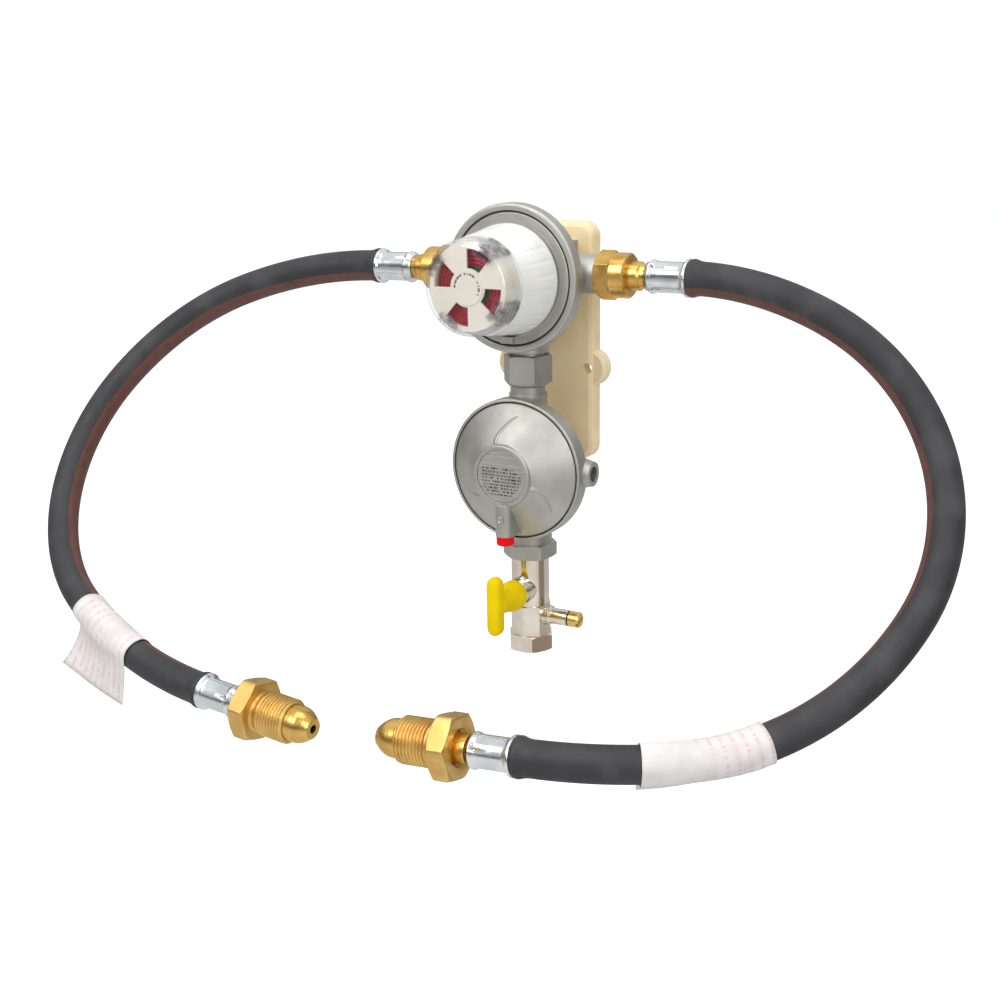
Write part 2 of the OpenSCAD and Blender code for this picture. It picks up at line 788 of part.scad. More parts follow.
module stage2_cover() {
    flange = stage2_seat + 1.3;
    color(die_cast) outward(stage2_z) difference() {
        union() {
            rotate_extrude() polygon([
                [0, flange], [stage2_cover_r, flange], [stage2_cover_r, 16.8],
                [stage2_cover_r - 0.4, 17.2], [17.4, 30.4], [16.6, disc_front - 0.3],
                [16.2, disc_front], [0, disc_front]
            ]);
            translate([0, 0, reset_front]) rotate([90, 0, 0]) rod(reset_rib_r, 16, -reset_bottom);
            box([2 * reset_rib_r, -reset_bottom - 12, 14], [0, (reset_bottom - 12) / 2, reset_front - 7]);
        }
        rotate_extrude() polygon([
            [0, flange - lap], [33, flange - lap], [33, 15.4], [15.6, 28], [0, 28]
        ]);
        rod(14.4, disc_front - 1, disc_front + lap);
        translate([0, 0, reset_front]) rotate([90, 0, 0]) {
            rod(reset_bore, 13, -reset_bottom - 2);
            rod(2 + running, 20, -reset_bottom + lap);
        }
    }
}

module rating_plate() {
    color("#c6c8c6") outward(stage2_z) rod(14.2, disc_front - 1, disc_front - 0.4);
}

module stage2_plate() {
    back = stage2_seat + 1.3;
    color(spring_steel) outward(stage2_z) {
        rod(2.5, 7.7, back + lap);
        rotate_extrude() polygon([
            [0, back], [20, back], [22, back + 0.9], [22, back + 1.5], [6, back + 1.5],
            [6, back + 3], [0, back + 3]
        ]);
    }
}

module stage2_spring() {
    color(spring_steel) outward(stage2_z) coil(8.6, 0.8, stage2_seat + 2.9, 26.4, 4);
}

module stage2_spring_cap() {
    color("#d8d8d4") outward(stage2_z) difference() {
        rod(11, 26.5, 28);
        rod(3, 26, 29);
    }
}

// Bent lever: the short arm lifts the valve on the pipe axis, the long one follows the stud
module stage2_lever() {
    color(spring_steel) outward(stage2_z) difference() {
        rotate([0, -90, 0]) translate([0, 0, -2.5]) {
            linear_extrude(5) polygon([
                [lever_pin_front, lever_pin_up + 2.8], [1.5, lever_pin_up - 0.4],
                [7.2, 1], [7.2, -2.5], [5.4, -2.5], [5.4, 0.6], [0.4, lever_pin_up - 2.6],
                [lever_pin_front, lever_pin_up - 2.8]
            ]);
            translate([lever_pin_front, lever_pin_up, -1]) cylinder(r = 2.8, h = 7);
        }
        translate([0, lever_pin_up, lever_pin_front]) rotate([0, 90, 0]) rod(1.5 + running, -8, 8);
    }
}

module stage2_lever_pin() {
    color(spring_steel) outward(stage2_z) translate([0, lever_pin_up, lever_pin_front])
        rotate([0, 90, 0]) rod(1.5, -7.4, 7.4);
}

module stage2_valve() {
    color(brass_yellow) outward(stage2_z) rotate([-90, 0, 0]) {
        rod(3.4, 17.6, 27.3);
        rod(1.2, 14.3, 18);
    }
}

module reset_cap() {
    color("#d3202a") outward(stage2_z) translate([0, 0, reset_front]) rotate([90, 0, 0]) difference() {
        rotate_extrude() polygon([
            [0, 0.05 - reset_bottom], [4.6, 0.05 - reset_bottom], [4.8, 0.4 - reset_bottom],
            [4.75, 4.4 - reset_bottom], [4.2, 5 - reset_bottom], [0, 5 - reset_bottom]
        ]);
        rod(2, -reset_bottom - lap, 2.5 - reset_bottom);
    }
}

module reset_stem() {
    color(brass_yellow) outward(stage2_z) translate([0, 0, reset_front]) rotate([90, 0, 0]) {
        rod(2, 17, 2.5 - reset_bottom);
        rod(reset_bore - running, 15, 18);
    }
}

module reset_spring() {
    color(spring_steel) outward(stage2_z) translate([0, 0, reset_front]) rotate([90, 0, 0])
        coil(3, 0.4, 18.1, -reset_bottom - 2.1, 6);
}

// ---- Ball valve --------------------------------------------------------------------------------

valve_r = 10.5;
ball_r = 8;
stem_r = 3;
boss_front = 13;
test_drop = -16;
nipple_seat = 11.8;
outlet_thread_r = 7.475;

module valve_body() {
    top = stage2_z - outlet_hex_end - 0.1 - stem_z;
    bottom = -36.2;
    color(nickel) upright(stem_z) difference() {
        union() {
            rod(outlet_r - running, top - lap, top + 11);
            rod(valve_r, -11, top);
            translate([0, 0, -27.4]) rotate([0, 0, 7.5]) cylinder(r = 11.7, h = 17.5, $fn = 8);
            chamfered_hex(23.2, bottom, -27.2);
            rotate([90, 0, 0]) rod(7.6, 5, boss_front);
            translate([0, 0, test_drop]) rotate([0, 90, 0]) rod(5.6, 5, nipple_seat);
        }
        rod(5, -30, top + 12);
        rod(ball_r + 0.4, -8.5, 8.5);
        rod(outlet_thread_r, bottom - lap, -23);
        rotate([90, 0, 0]) rod(stem_r + running, 0, boss_front + lap);
        translate([0, 0, test_drop]) rotate([0, 90, 0]) rod(3.5, 0, 12);
    }
}

module valve_ball() {
    color("#d8d2c8") upright(stem_z) difference() {
        sphere(r = ball_r);
        rod(5, -ball_r - lap, ball_r + lap);
        rotate([90, 0, 0]) rod(stem_r + running, 5.6, ball_r + lap);
    }
}

module ball_seats() {
    color("#f2f0ea") upright(stem_z) for (side = [-1, 1]) difference() {
        tube(ball_r + 0.35, 5.1, side * 7.2 - 1.25, side * 7.2 + 1.25);
        sphere(r = ball_r + running);
    }
}

module valve_stem() {
    color(nickel) upright(stem_z) rotate([90, 0, 0]) rod(stem_r, 5.7, 38);
}

module stem_nut() {
    color(nickel) upright(stem_z) rotate([90, 0, 0])
        tube(6.4, stem_r + running, boss_front + 0.05, boss_front + 3.2);
}

module valve_handle() {
    bar_h = 33;
    bar_w = 8.4;
    bar_back = 35.8;
    bar_front = 43.8;
    color("#f2d21b") upright(stem_z) rotate([90, 0, 0]) difference() {
        union() {
            rotate_extrude() polygon([
                [0, 16.6], [6.9, 16.6], [7.6, 17.4], [7.6, 20], [6.2, 27], [5.4, 36.5], [0, 36.5]
            ]);
            for (y = [-1, 1]) translate([0, y * (bar_h - bar_w) / 2, 0]) rod(bar_w / 2, bar_back, bar_front);
            box([bar_w, bar_h - bar_w, bar_front - bar_back], [0, 0, (bar_back + bar_front) / 2]);
        }
        rod(stem_r, 16, 38.05);
    }
}

nipple_end = 24;

module test_nipple() {
    color(nickel) sideways(stem_z + test_drop, 1) difference() {
        union() {
            rod(3.45, 5.5, nipple_seat + 0.5);
            rotate_extrude() polygon([
                [0, nipple_seat + running], [5.4, nipple_seat + running], [5.4, 13], [4.5, 14],
                [4.5, nipple_end], [0, nipple_end]
            ]);
        }
        rod(2, 5, nipple_end + lap);
    }
}

module test_screw_washer() {
    color(rubber_black) sideways(stem_z + test_drop, 1)
        tube(4.1, 2.05, nipple_end + 0.02, nipple_end + 0.9);
}

module test_screw() {
    color(brass_yellow) sideways(stem_z + test_drop, 1) difference() {
        union() {
            rod(1.95, 13, nipple_end + 1.5);
            rotate_extrude() polygon([
                [0, nipple_end + 0.95], [4.4, nipple_end + 0.95], [4.4, nipple_end + 6.2],
                [3.8, nipple_end + 7.1], [0, nipple_end + 7.1]
            ]);
        }
        rotate([0, 0, 25]) box([1.1, 12, 2.4], [0, 0, nipple_end + 7.1]);
    }
}

wall_bracket();
bracket_screws();
changeover_body();
changeover_bonnet();
changeover_diaphragm();
changeover_plate();
changeover_spring();
changeover_rocker();
inlet_valve(-1);  // left_inlet_valve
inlet_valve(1);  // right_inlet_valve
changeover_knob();
indicator_dome();
indicator_mask();
indicator_drum();
indicator_spring();
union_nut();
union_nipple();
union_seal();
stage2_body();
stage2_cover();
rating_plate();
stage2_diaphragm();
stage2_plate();
stage2_spring();
stage2_spring_cap();
stage2_lever();
stage2_lever_pin();
stage2_valve();
reset_cap();
reset_stem();
reset_spring();
valve_body();
valve_ball();
ball_seats();
valve_stem();
stem_nut();
valve_handle();
test_nipple();
test_screw();
test_screw_washer();
inlet_nut(-1);  // left_inlet_nut
inlet_tail(-1);  // left_inlet_tail
at_inlet(-1) ferrule();  // left_inlet_ferrule
hose_upper(-1);  // left_hose_upper
hose_lower(-1);  // left_hose_lower
date_tag(-1, left_tag_from, left_tag_to, left_tag_hang, left_tag_tail);  // left_date_tag
at_hose_end(-1) ferrule();  // left_pol_ferrule
pol_tail(-1);  // left_pol_tail
pol_nut(-1);  // left_pol_nut
inlet_nut(1);  // right_inlet_nut
inlet_tail(1);  // right_inlet_tail
at_inlet(1) ferrule();  // right_inlet_ferrule
hose_upper(1);  // right_hose_upper
hose_lower(1);  // right_hose_lower
date_tag(1, right_tag_from, right_tag_to, right_tag_hang, right_tag_tail);  // right_date_tag
at_hose_end(1) ferrule();  // right_pol_ferrule
pol_tail(1);  // right_pol_tail
pol_nut(1);  // right_pol_nut
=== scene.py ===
# Looks of a two-cylinder LPG changeover set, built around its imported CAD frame.
# Every CAD part keeps its shape and gets a material. The hoses, ferrules, paper tags, threaded
# cylinder nuts, valve handle, springs and diaphragms are modelled here and stand for their plain
# CAD solids. Three vanes and a rivet are added to the cover of the second stage.
# Lengths in the shape functions are millimetres; MM turns them into the frame's metres.
import json
import math

import bmesh
import bpy
from mathutils import Matrix, Vector


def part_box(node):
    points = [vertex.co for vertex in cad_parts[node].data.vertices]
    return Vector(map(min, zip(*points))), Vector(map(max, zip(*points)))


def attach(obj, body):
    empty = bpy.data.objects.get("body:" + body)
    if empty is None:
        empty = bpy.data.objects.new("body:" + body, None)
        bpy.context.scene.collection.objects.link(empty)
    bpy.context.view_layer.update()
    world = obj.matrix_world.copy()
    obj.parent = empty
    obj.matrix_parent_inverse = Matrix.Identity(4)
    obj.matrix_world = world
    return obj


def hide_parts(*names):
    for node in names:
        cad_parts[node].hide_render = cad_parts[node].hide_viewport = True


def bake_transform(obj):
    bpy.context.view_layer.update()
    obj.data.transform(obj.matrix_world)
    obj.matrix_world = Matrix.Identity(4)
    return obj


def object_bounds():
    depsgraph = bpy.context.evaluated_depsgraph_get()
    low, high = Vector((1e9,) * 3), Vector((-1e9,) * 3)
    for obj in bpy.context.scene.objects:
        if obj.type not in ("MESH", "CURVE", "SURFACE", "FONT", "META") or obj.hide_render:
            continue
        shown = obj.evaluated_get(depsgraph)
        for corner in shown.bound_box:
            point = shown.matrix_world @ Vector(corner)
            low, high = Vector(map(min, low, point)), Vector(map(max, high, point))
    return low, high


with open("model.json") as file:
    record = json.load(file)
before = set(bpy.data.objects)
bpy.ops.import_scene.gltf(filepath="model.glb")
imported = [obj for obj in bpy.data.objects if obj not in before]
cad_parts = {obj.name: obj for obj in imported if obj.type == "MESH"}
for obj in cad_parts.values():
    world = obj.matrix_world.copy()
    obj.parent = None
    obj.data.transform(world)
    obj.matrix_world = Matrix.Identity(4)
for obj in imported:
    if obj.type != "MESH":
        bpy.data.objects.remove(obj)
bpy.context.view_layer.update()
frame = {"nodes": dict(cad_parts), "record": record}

MM = 0.001


# ---- Places, read from the frame ----------------------------------------------------------------

def middle(node):
    """Centre of a CAD node's box, in metres."""
    low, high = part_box(node)
    return (low + high) / 2


PIPE_Y = middle("union_nut").y
CHANGEOVER_Z = middle("changeover_diaphragm").z
STAGE2_Z = middle("stage2_diaphragm").z
STEM_Z = middle("valve_stem").z
INLET_Z = middle("right_inlet_nut").z
MOUTH_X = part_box("right_inlet_ferrule")[1].x
SIDES = {"left": -1, "right": 1}


def outward(z):
    """Matrix from local (right, up, forward of the pipe axis) to the row frame, at height z."""
    return Matrix(((1, 0, 0, 0), (0, 0, -1, PIPE_Y), (0, 1, 0, z), (0, 0, 0, 1)))


# ---- Hose path ----------------------------------------------------------------------------------
# A chain of round bends, each as (length, radius, direction around the hose), as in the CAD source.

BENDS = {
    "right": ((72, 136, -161), (166, 103, 140), (136, 151, 132), (66, 107, -157)),
    "left": ((95, 236, -150), (91, 137, -142), (158, 103, -141), (117, 251, -150)),
}
# Distance along a hose of its flex joint
FLEX_AT = 200
HOSE_R = 8.5
BORE_R = 4.05
# Length of hose inside a ferrule
CRIMP = 21


def hose_length(side):
    """Length in mm between the mouths of a hose's two ferrules."""
    return sum(bend[0] for bend in BENDS[side])


def along_bend(place, bend, s):
    """The place at distance s along one round bend that starts at a place."""
    point, ahead, up, across = place
    direction = math.radians(bend[2])
    inward = up * math.cos(direction) + across * math.sin(direction)
    angle = s / bend[1]
    turn = Matrix.Rotation(angle, 3, ahead.cross(inward))
    point = point + inward * bend[1] * (1 - math.cos(angle)) + ahead * bend[1] * math.sin(angle)
    return point, turn @ ahead, turn @ up, turn @ across


def hose_place(side, s):
    """(point, direction, up, across) at distance s along a hose, in mm; straight beyond its ends."""
    sign = SIDES[side]
    start = Vector((sign * MOUTH_X, PIPE_Y, INLET_Z)) / MM
    place = (start, Vector((sign, 0, 0)), Vector((0, 0, 1)), Vector((0, -sign, 0)))
    for bend in BENDS[side]:
        if s <= bend[0]:
            break
        place = along_bend(place, bend, bend[0])
        s -= bend[0]
    else:
        bend = None
    if s < 0 or bend is None:
        return (place[0] + place[1] * s,) + place[1:]
    return along_bend(place, bend, s)


def hose_end(side):
    """Matrix with local Z running on from the end of a hose into its cylinder fitting."""
    point, ahead, up, across = hose_place(side, hose_length(side))
    columns = Matrix((up, across, ahead)).transposed().to_4x4()
    columns.translation = point * MM
    return columns


def inlet_mouth(side):
    """Matrix with local Z running from the mouth of an inlet ferrule back to the regulator."""
    sign = SIDES[side]
    spin = Matrix.Rotation(-sign * math.pi / 2, 4, "Y")
    return Matrix.Translation((sign * MOUTH_X, PIPE_Y, INLET_Z)) @ spin


# ---- Meshes -------------------------------------------------------------------------------------

def skin(name, rows, material, closed=True, ends="open", along=None):
    """A mesh through rows of points in mm. closed joins each row's last point to its first.
    ends is open, joined (last row to first) or capped. along gives each row's UV height in mm."""
    n = len(rows[0])
    points = [Vector(p) * MM for row in rows for p in row]
    spans = n if closed else n - 1
    count = len(rows) if ends == "joined" else len(rows) - 1
    faces = []
    corners = []
    heights = along or [0.0] * len(rows)
    for i in range(count):
        below, above = i, (i + 1) % len(rows)
        for j in range(spans):
            k = (j + 1) % n
            faces.append((below * n + j, below * n + k, above * n + k, above * n + j))
            left, right = j / spans, (j + 1) / spans
            corners += [(left, heights[below]), (right, heights[below])]
            corners += [(right, heights[above]), (left, heights[above])]
    if ends == "capped":
        faces.append(tuple(reversed(range(n))))
        faces.append(tuple(range((len(rows) - 1) * n, len(rows) * n)))
        corners += [(0.0, heights[0])] * n + [(0.0, heights[-1])] * n
    mesh = bpy.data.meshes.new(name)
    mesh.from_pydata(points, [], faces)
    layer = mesh.uv_layers.new(name="UVMap")
    for loop, (u, v) in zip(layer.data, corners):
        loop.uv = (u, v * MM)
    mesh.shade_smooth()
    mesh.materials.append(material)
    piece = bpy.data.objects.new(name, mesh)
    bpy.context.scene.collection.objects.link(piece)
    return piece


def circle(n, radius=1.0):
    """n points round a circle, as (angle, x, y)."""
    angles = [2 * math.pi * j / n for j in range(n)]
    return [(a, radius * math.cos(a), radius * math.sin(a)) for a in angles]


def turned(name, outline, place, material, n=96, wave=None, ends="capped"):
    """A mesh of revolution about local Z. outline lists (radius, height); wave(angle, radius, height)
    may move the radius. place is the matrix from local metres to the row frame."""
    rows = []
    for radius, height in outline:
        row = []
        for angle, x, y in circle(n):
            r = wave(angle, radius, height) if wave else radius
            row.append(Vector((r * x, r * y, height)))
        rows.append(row)
    piece = skin(name, rows, material, ends=ends, along=[h for r, h in outline])
    piece.data.transform(place)
    return piece


def take_faces(piece, other):
    """Moves the other piece's faces into the first one's mesh."""
    both = bmesh.new()
    both.from_mesh(piece.data)
    both.from_mesh(other.data)
    both.to_mesh(piece.data)
    both.free()
    bpy.data.objects.remove(other)


def between(points, x):
    """Value at x on the broken line through points, each (x, value)."""
    if x <= points[0][0]:
        return points[0][1]
    for (x0, v0), (x1, v1) in zip(points, points[1:]):
        if x <= x1:
            return v0 + (v1 - v0) * (x - x0) / (x1 - x0)
    return points[-1][1]


def steps(start, stop, size):
    """Evenly spaced numbers from start to stop, at most size apart."""
    count = max(1, math.ceil(abs(stop - start) / size))
    return [start + (stop - start) * i / count for i in range(count + 1)]


def dressed(piece, body, slot, *nodes):
    """The piece rides on a body and stands for CAD nodes; slot is not used."""
    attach(piece, body)
    if nodes:
        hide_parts(*nodes)
    return piece


# ---- Materials ----------------------------------------------------------------------------------

class Paint:
    """A node material under construction. Textures are laid out in the piece's own coordinates."""

    def __init__(self, name):
        self.material = bpy.data.materials.new(name)
        self.material.use_nodes = True
        self.tree = self.material.node_tree
        self.shader = self.tree.nodes["Principled BSDF"]
        self.where = self.add("TexCoord").outputs["Object"]

    def add(self, kind, fields=None, **inputs):
        node = self.tree.nodes.new("ShaderNode" + kind)
        for key, value in (fields or {}).items():
            setattr(node, key, value)
        for key, value in inputs.items():
            self.give(node.inputs[key.replace("_", " ")], value)
        return node

    def give(self, socket, value):
        if isinstance(value, bpy.types.NodeSocket):
            self.tree.links.new(value, socket)
        elif isinstance(value, tuple) and len(value) == 3 and socket.type == "RGBA":
            socket.default_value = value + (1.0,)
        else:
            socket.default_value = value

    def math(self, operation, a, b=0.0):
        node = self.add("Math", {"operation": operation})
        self.give(node.inputs[0], a)
        self.give(node.inputs[1], b)
        return node.outputs[0]

    def vector(self, operation, a, b=(0, 0, 0)):
        node = self.add("VectorMath", {"operation": operation})
        self.give(node.inputs[0], a)
        self.give(node.inputs[1], b)
        return node

    def noise(self, scale, detail=3.0, stretch=(1, 1, 1), at=None):
        """Noise from 0 to 1 with scale features a metre; stretch thins it along an axis."""
        spread = self.vector("MULTIPLY", at or self.where, stretch).outputs[0]
        return self.add("TexNoise", Vector=spread, Scale=scale, Detail=detail).outputs["Fac"]

    def ramp(self, value, low, high, start=0.0, stop=1.0):
        node = self.add("MapRange", {"interpolation_type": "SMOOTHSTEP"}, Value=value)
        for socket, number in zip(node.inputs[1:5], (low, high, start, stop)):
            socket.default_value = number
        return node.outputs[0]

    def mix(self, share, a, b):
        node = self.add("Mix", {"data_type": "RGBA"})
        self.give(node.inputs[0], share)
        self.give(node.inputs[6], a)
        self.give(node.inputs[7], b)
        return node.outputs[2]

    def soft_edges(self, radius):
        """(normal with edges rounded to radius mm, how near an edge from 0 to 1)."""
        normal = self.add("Bevel", {"samples": 4}, Radius=radius * MM).outputs[0]
        true = self.add("NewGeometry").outputs["Normal"]
        dot = self.vector("DOT_PRODUCT", normal, true).outputs["Value"]
        flat, turned_away = 0.995, 0.9
        return normal, self.ramp(dot, flat, turned_away)

    def bump(self, height, depth, normal=None):
        """Normal of a surface raised by height (0 to 1) times depth mm."""
        node = self.add("Bump", Height=height, Distance=depth * MM, Strength=1.0)
        if normal is not None:
            self.give(node.inputs["Normal"], normal)
        return node.outputs[0]

    def finish(self, **inputs):
        for key, value in inputs.items():
            self.give(self.shader.inputs[key.replace("_", " ")], value)
        return self.material


def metal(name, dark, light, edge_wear_and_highlight, rough, grain, depth, edge=0.35):
    """Metal mottled between two colours, with edges lightened to a third, partly as wear and partly as a
    painted highlight. rough is the range of its roughness, grain the features a metre, depth their height
    and edge the rounding of edges in mm."""
    p = Paint(name)
    normal, near_edge = p.soft_edges(edge)
    cloud = p.ramp(p.noise(70, 4.0), 0.35, 0.68)
    fine = p.noise(grain, 4.0)
    colour = p.mix(cloud, dark, light)
    colour = p.mix(p.ramp(fine, 0.55, 0.8, 0.0, 0.35), colour, dark)
    # Edges lightened towards the third colour: partly edge wear, partly a painted highlight.
    colour = p.mix(p.math("MULTIPLY", near_edge, 0.45), colour, edge_wear_and_highlight)
    patches = p.math("ADD", p.math("MULTIPLY", p.noise(160, 3.0), 0.7), p.math("MULTIPLY", fine, 0.3))
    return p.finish(
        Base_Color=colour,
        Metallic=1.0,
        Roughness=p.ramp(patches, 0.3, 0.7, rough[0], rough[1]),
        Normal=p.bump(fine, depth, normal),
    )


def plastic(name, dark, light, rough, texture, depth, **extra):
    """Moulded plastic: faint mottling, a few handling marks and a moulded texture with that many
    features a metre, depth mm high. rough is the range of its roughness."""
    p = Paint(name)
    normal, near_edge = p.soft_edges(0.4)
    texture_height = p.noise(texture, 2.0)
    cloud = p.ramp(p.noise(45, 3.0), 0.3, 0.7)
    marks = p.ramp(p.noise(220, 5.0, (1, 1, 0.15)), 0.62, 0.72)
    colour = p.mix(cloud, dark, light)
    # Painted highlight: edges lightened towards the light colour.
    colour = p.mix(p.math("MULTIPLY", near_edge, 0.3), colour, light)
    spread = p.ramp(p.noise(130, 3.0), 0.3, 0.7, rough[0], rough[1])
    return p.finish(
        Base_Color=colour,
        Roughness=p.math("ADD", spread, p.math("MULTIPLY", marks, 0.08)),
        Normal=p.bump(texture_height, depth, normal),
        **extra,
    )


# Middle and half width of the hose's stripe, as shares of a turn; pitch of the cloth print along
# the hose in mm, and its cords round the hose
STRIPE_AT, STRIPE_HALF = 0.41, 0.0925
CORD_PITCH, CORDS_ROUND = 1.3, 44


def hose_rubber():
    """Extruded rubber: matt, with a faint cloth print, scuffs and a red-brown stripe along it."""
    p = Paint("hose_rubber")
    uv = p.add("UVMap", {"uv_map": "UVMap"}).outputs[0]
    parts = p.add("SeparateXYZ", Vector=uv).outputs
    around, along = parts[0], parts[1]
    drift = p.math("MULTIPLY", p.math("SUBTRACT", p.noise(22, 2.0), 0.5), 0.05)
    place = p.math("ADD", around, drift)
    off_stripe = p.math("ABSOLUTE", p.math("SUBTRACT", place, STRIPE_AT))
    stripe = p.ramp(off_stripe, STRIPE_HALF + 0.0075, STRIPE_HALF - 0.0075)
    scuffs = p.ramp(p.noise(240, 5.0), 0.5, 0.75)
    dust = p.ramp(p.noise(60, 4.0), 0.42, 0.75)
    black = p.mix(dust, (0.026, 0.026, 0.028), (0.050, 0.050, 0.053))
    red = p.mix(scuffs, (0.150, 0.050, 0.034), (0.078, 0.040, 0.032))
    colour = p.mix(p.math("MULTIPLY", stripe, 0.8), black, red)
    cords = p.math("SINE", p.math("MULTIPLY", along, 2 * math.pi / (CORD_PITCH * MM)))
    crossing = p.math("SINE", p.math("MULTIPLY", around, 2 * math.pi * CORDS_ROUND))
    weave = p.math("MULTIPLY", cords, crossing)
    relief = p.math("ADD", p.math("MULTIPLY", weave, 0.25), p.noise(1400, 4.0))
    return p.finish(
        Base_Color=colour,
        Roughness=p.ramp(p.noise(120, 4.0), 0.3, 0.7, 0.52, 0.68),
        Specular_IOR_Level=0.45,
        Normal=p.bump(relief, 0.035),
    )


def printed_rows(p, across, up, pitch, share, letter):
    """Mask of short printed dashes in rows: across and up are lengths in metres, pitch the row
    spacing and letter the usual dash in mm, and share how much of a row's height is printed."""
    row = p.math("DIVIDE", up, pitch * MM)
    in_row = p.math("LESS_THAN", p.math("FRACT", row), share)
    row_shift = 7.31
    index = p.math("MULTIPLY", p.math("FLOOR", row), row_shift)
    letters = p.math("DIVIDE", across, letter * MM)
    spot = p.add("CombineXYZ", X=letters, Y=index, Z=0.0).outputs[0]
    return p.math("MULTIPLY", in_row, p.ramp(p.noise(1.0, 1.0, at=spot), 0.47, 0.52))


def tag_paper():
    """White paper with rows of pale red print, fibres, creases and faintly grubby patches."""
    p = Paint("tag_paper")
    parts = p.add("SeparateXYZ", Vector=p.add("UVMap", {"uv_map": "UVMap"}).outputs[0]).outputs
    loop_length = 0.15
    around = p.math("MULTIPLY", parts[0], loop_length)
    print_mask = printed_rows(p, around, parts[1], pitch=5.2, share=0.34, letter=0.9)
    patch = p.ramp(p.noise(26, 1.0), 0.34, 0.44)
    fibres = p.noise(1500, 5.0, (1, 1, 0.4))
    paper = p.mix(p.ramp(p.noise(90, 4.0), 0.3, 0.7), (0.70, 0.655, 0.625), (0.78, 0.75, 0.73))
    ink = p.math("MULTIPLY", p.math("MULTIPLY", print_mask, patch), 0.75)
    creases = p.math("ADD", p.math("MULTIPLY", p.noise(150, 3.0), 4.0), fibres)
    return p.finish(
        Base_Color=p.mix(ink, paper, (0.74, 0.50, 0.48)),
        Roughness=p.ramp(fibres, 0.3, 0.7, 0.78, 0.92),
        Subsurface_Weight=0.08,
        Normal=p.bump(creases, 0.05),
    )


# The print on the second-stage plate, in mm from its middle: top, bottom and radius
PRINT_TOP, PRINT_BOTTOM, PRINT_R = 4.5, -11.5, 12.0


def plate_print():
    """Brushed aluminium disc with rows of generic dark dashes."""
    p = Paint("plate_print")
    parts = p.add("SeparateXYZ", Vector=p.where).outputs
    across, height = parts[0], p.math("SUBTRACT", parts[2], STAGE2_Z)
    print_mask = printed_rows(p, across, height, pitch=1.75, share=0.52, letter=0.62)
    below_top = p.ramp(height, (PRINT_TOP + 0.1) * MM, (PRINT_TOP - 0.1) * MM)
    above_bottom = p.ramp(height, (PRINT_BOTTOM - 0.1) * MM, (PRINT_BOTTOM + 0.1) * MM)
    band = p.math("MULTIPLY", below_top, above_bottom)
    squared = p.math("ADD", p.math("MULTIPLY", across, across), p.math("MULTIPLY", height, height))
    inside = p.ramp(p.math("SQRT", squared), (PRINT_R + 0.2) * MM, (PRINT_R - 0.2) * MM)
    mask = p.math("MULTIPLY", p.math("MULTIPLY", print_mask, band), inside)
    brush = p.noise(900, 4.0, (0.06, 1, 1))
    sheet = p.mix(p.ramp(brush, 0.3, 0.7), (0.42, 0.41, 0.375), (0.56, 0.55, 0.51))
    return p.finish(
        Base_Color=p.mix(mask, sheet, (0.02, 0.02, 0.02)),
        Metallic=p.math("SUBTRACT", 0.9, p.math("MULTIPLY", mask, 0.9)),
        Roughness=p.ramp(brush, 0.3, 0.7, 0.34, 0.5),
        Normal=p.bump(brush, 0.006),
    )


def from_indicator_axis(p):
    """(distance from the knob's axis in metres, angle round it from -pi to pi)."""
    parts = p.add("SeparateXYZ", Vector=p.where).outputs
    across, height = parts[0], p.math("SUBTRACT", parts[2], CHANGEOVER_Z)
    squared = p.math("ADD", p.math("MULTIPLY", across, across), p.math("MULTIPLY", height, height))
    return p.math("SQRT", squared), p.math("ARCTAN2", height, across)


def drum_plastic():
    """Indicator drum: red face with turned rings, painted darker in their grooves as shade, and a green
    middle.
    """
    green_r, ring_pitch = 10.45, 1.9
    p = Paint("drum_plastic")
    radius, angle = from_indicator_axis(p)
    green = p.ramp(radius, (green_r + 0.15) * MM, (green_r - 0.15) * MM)
    rings = p.math("SINE", p.math("MULTIPLY", radius, 2 * math.pi / (ring_pitch * MM)))
    # Painted shade: the red is darker where the rings' bump dips into grooves.
    red = p.mix(p.ramp(rings, -1.0, 1.0), (0.34, 0.004, 0.010), (0.62, 0.012, 0.024))
    return p.finish(
        Base_Color=p.mix(green, red, (0.02, 0.10, 0.045)),
        Roughness=p.ramp(p.noise(300, 3.0), 0.3, 0.7, 0.22, 0.34),
        Normal=p.bump(rings, 0.08),
    )


def mask_print():
    """Cream indicator mask with a ring of generic dashes round the top of its middle."""
    inner, outer, dashes_a_radian, spread = 6.35, 7.45, 9.0, 2.075
    p = Paint("mask_print")
    radius, angle = from_indicator_axis(p)
    beyond_inner = p.ramp(radius, (inner - 0.05) * MM, (inner + 0.05) * MM)
    within_outer = p.ramp(radius, (outer + 0.05) * MM, (outer - 0.05) * MM)
    ring = p.math("MULTIPLY", beyond_inner, within_outer)
    spot = p.add("CombineXYZ", X=p.math("MULTIPLY", angle, dashes_a_radian), Y=3.7, Z=0.0).outputs[0]
    dashes = p.ramp(p.noise(1.0, 1.0, at=spot), 0.47, 0.52)
    off_top = p.math("ABSOLUTE", p.math("SUBTRACT", angle, math.pi / 2))
    upper = p.ramp(off_top, spread + 0.025, spread - 0.025)
    ink = p.math("MULTIPLY", p.math("MULTIPLY", ring, dashes), upper)
    body = p.mix(p.ramp(p.noise(60, 3.0), 0.3, 0.7), (0.80, 0.735, 0.63), (0.86, 0.80, 0.70))
    return p.finish(
        Base_Color=p.mix(p.math("MULTIPLY", ink, 0.9), body, (0.03, 0.03, 0.03)),
        Roughness=p.ramp(p.noise(300, 3.0), 0.3, 0.7, 0.36, 0.48),
        Subsurface_Weight=0.05,
        Normal=p.bump(p.noise(2500, 2.0), 0.01),
    )


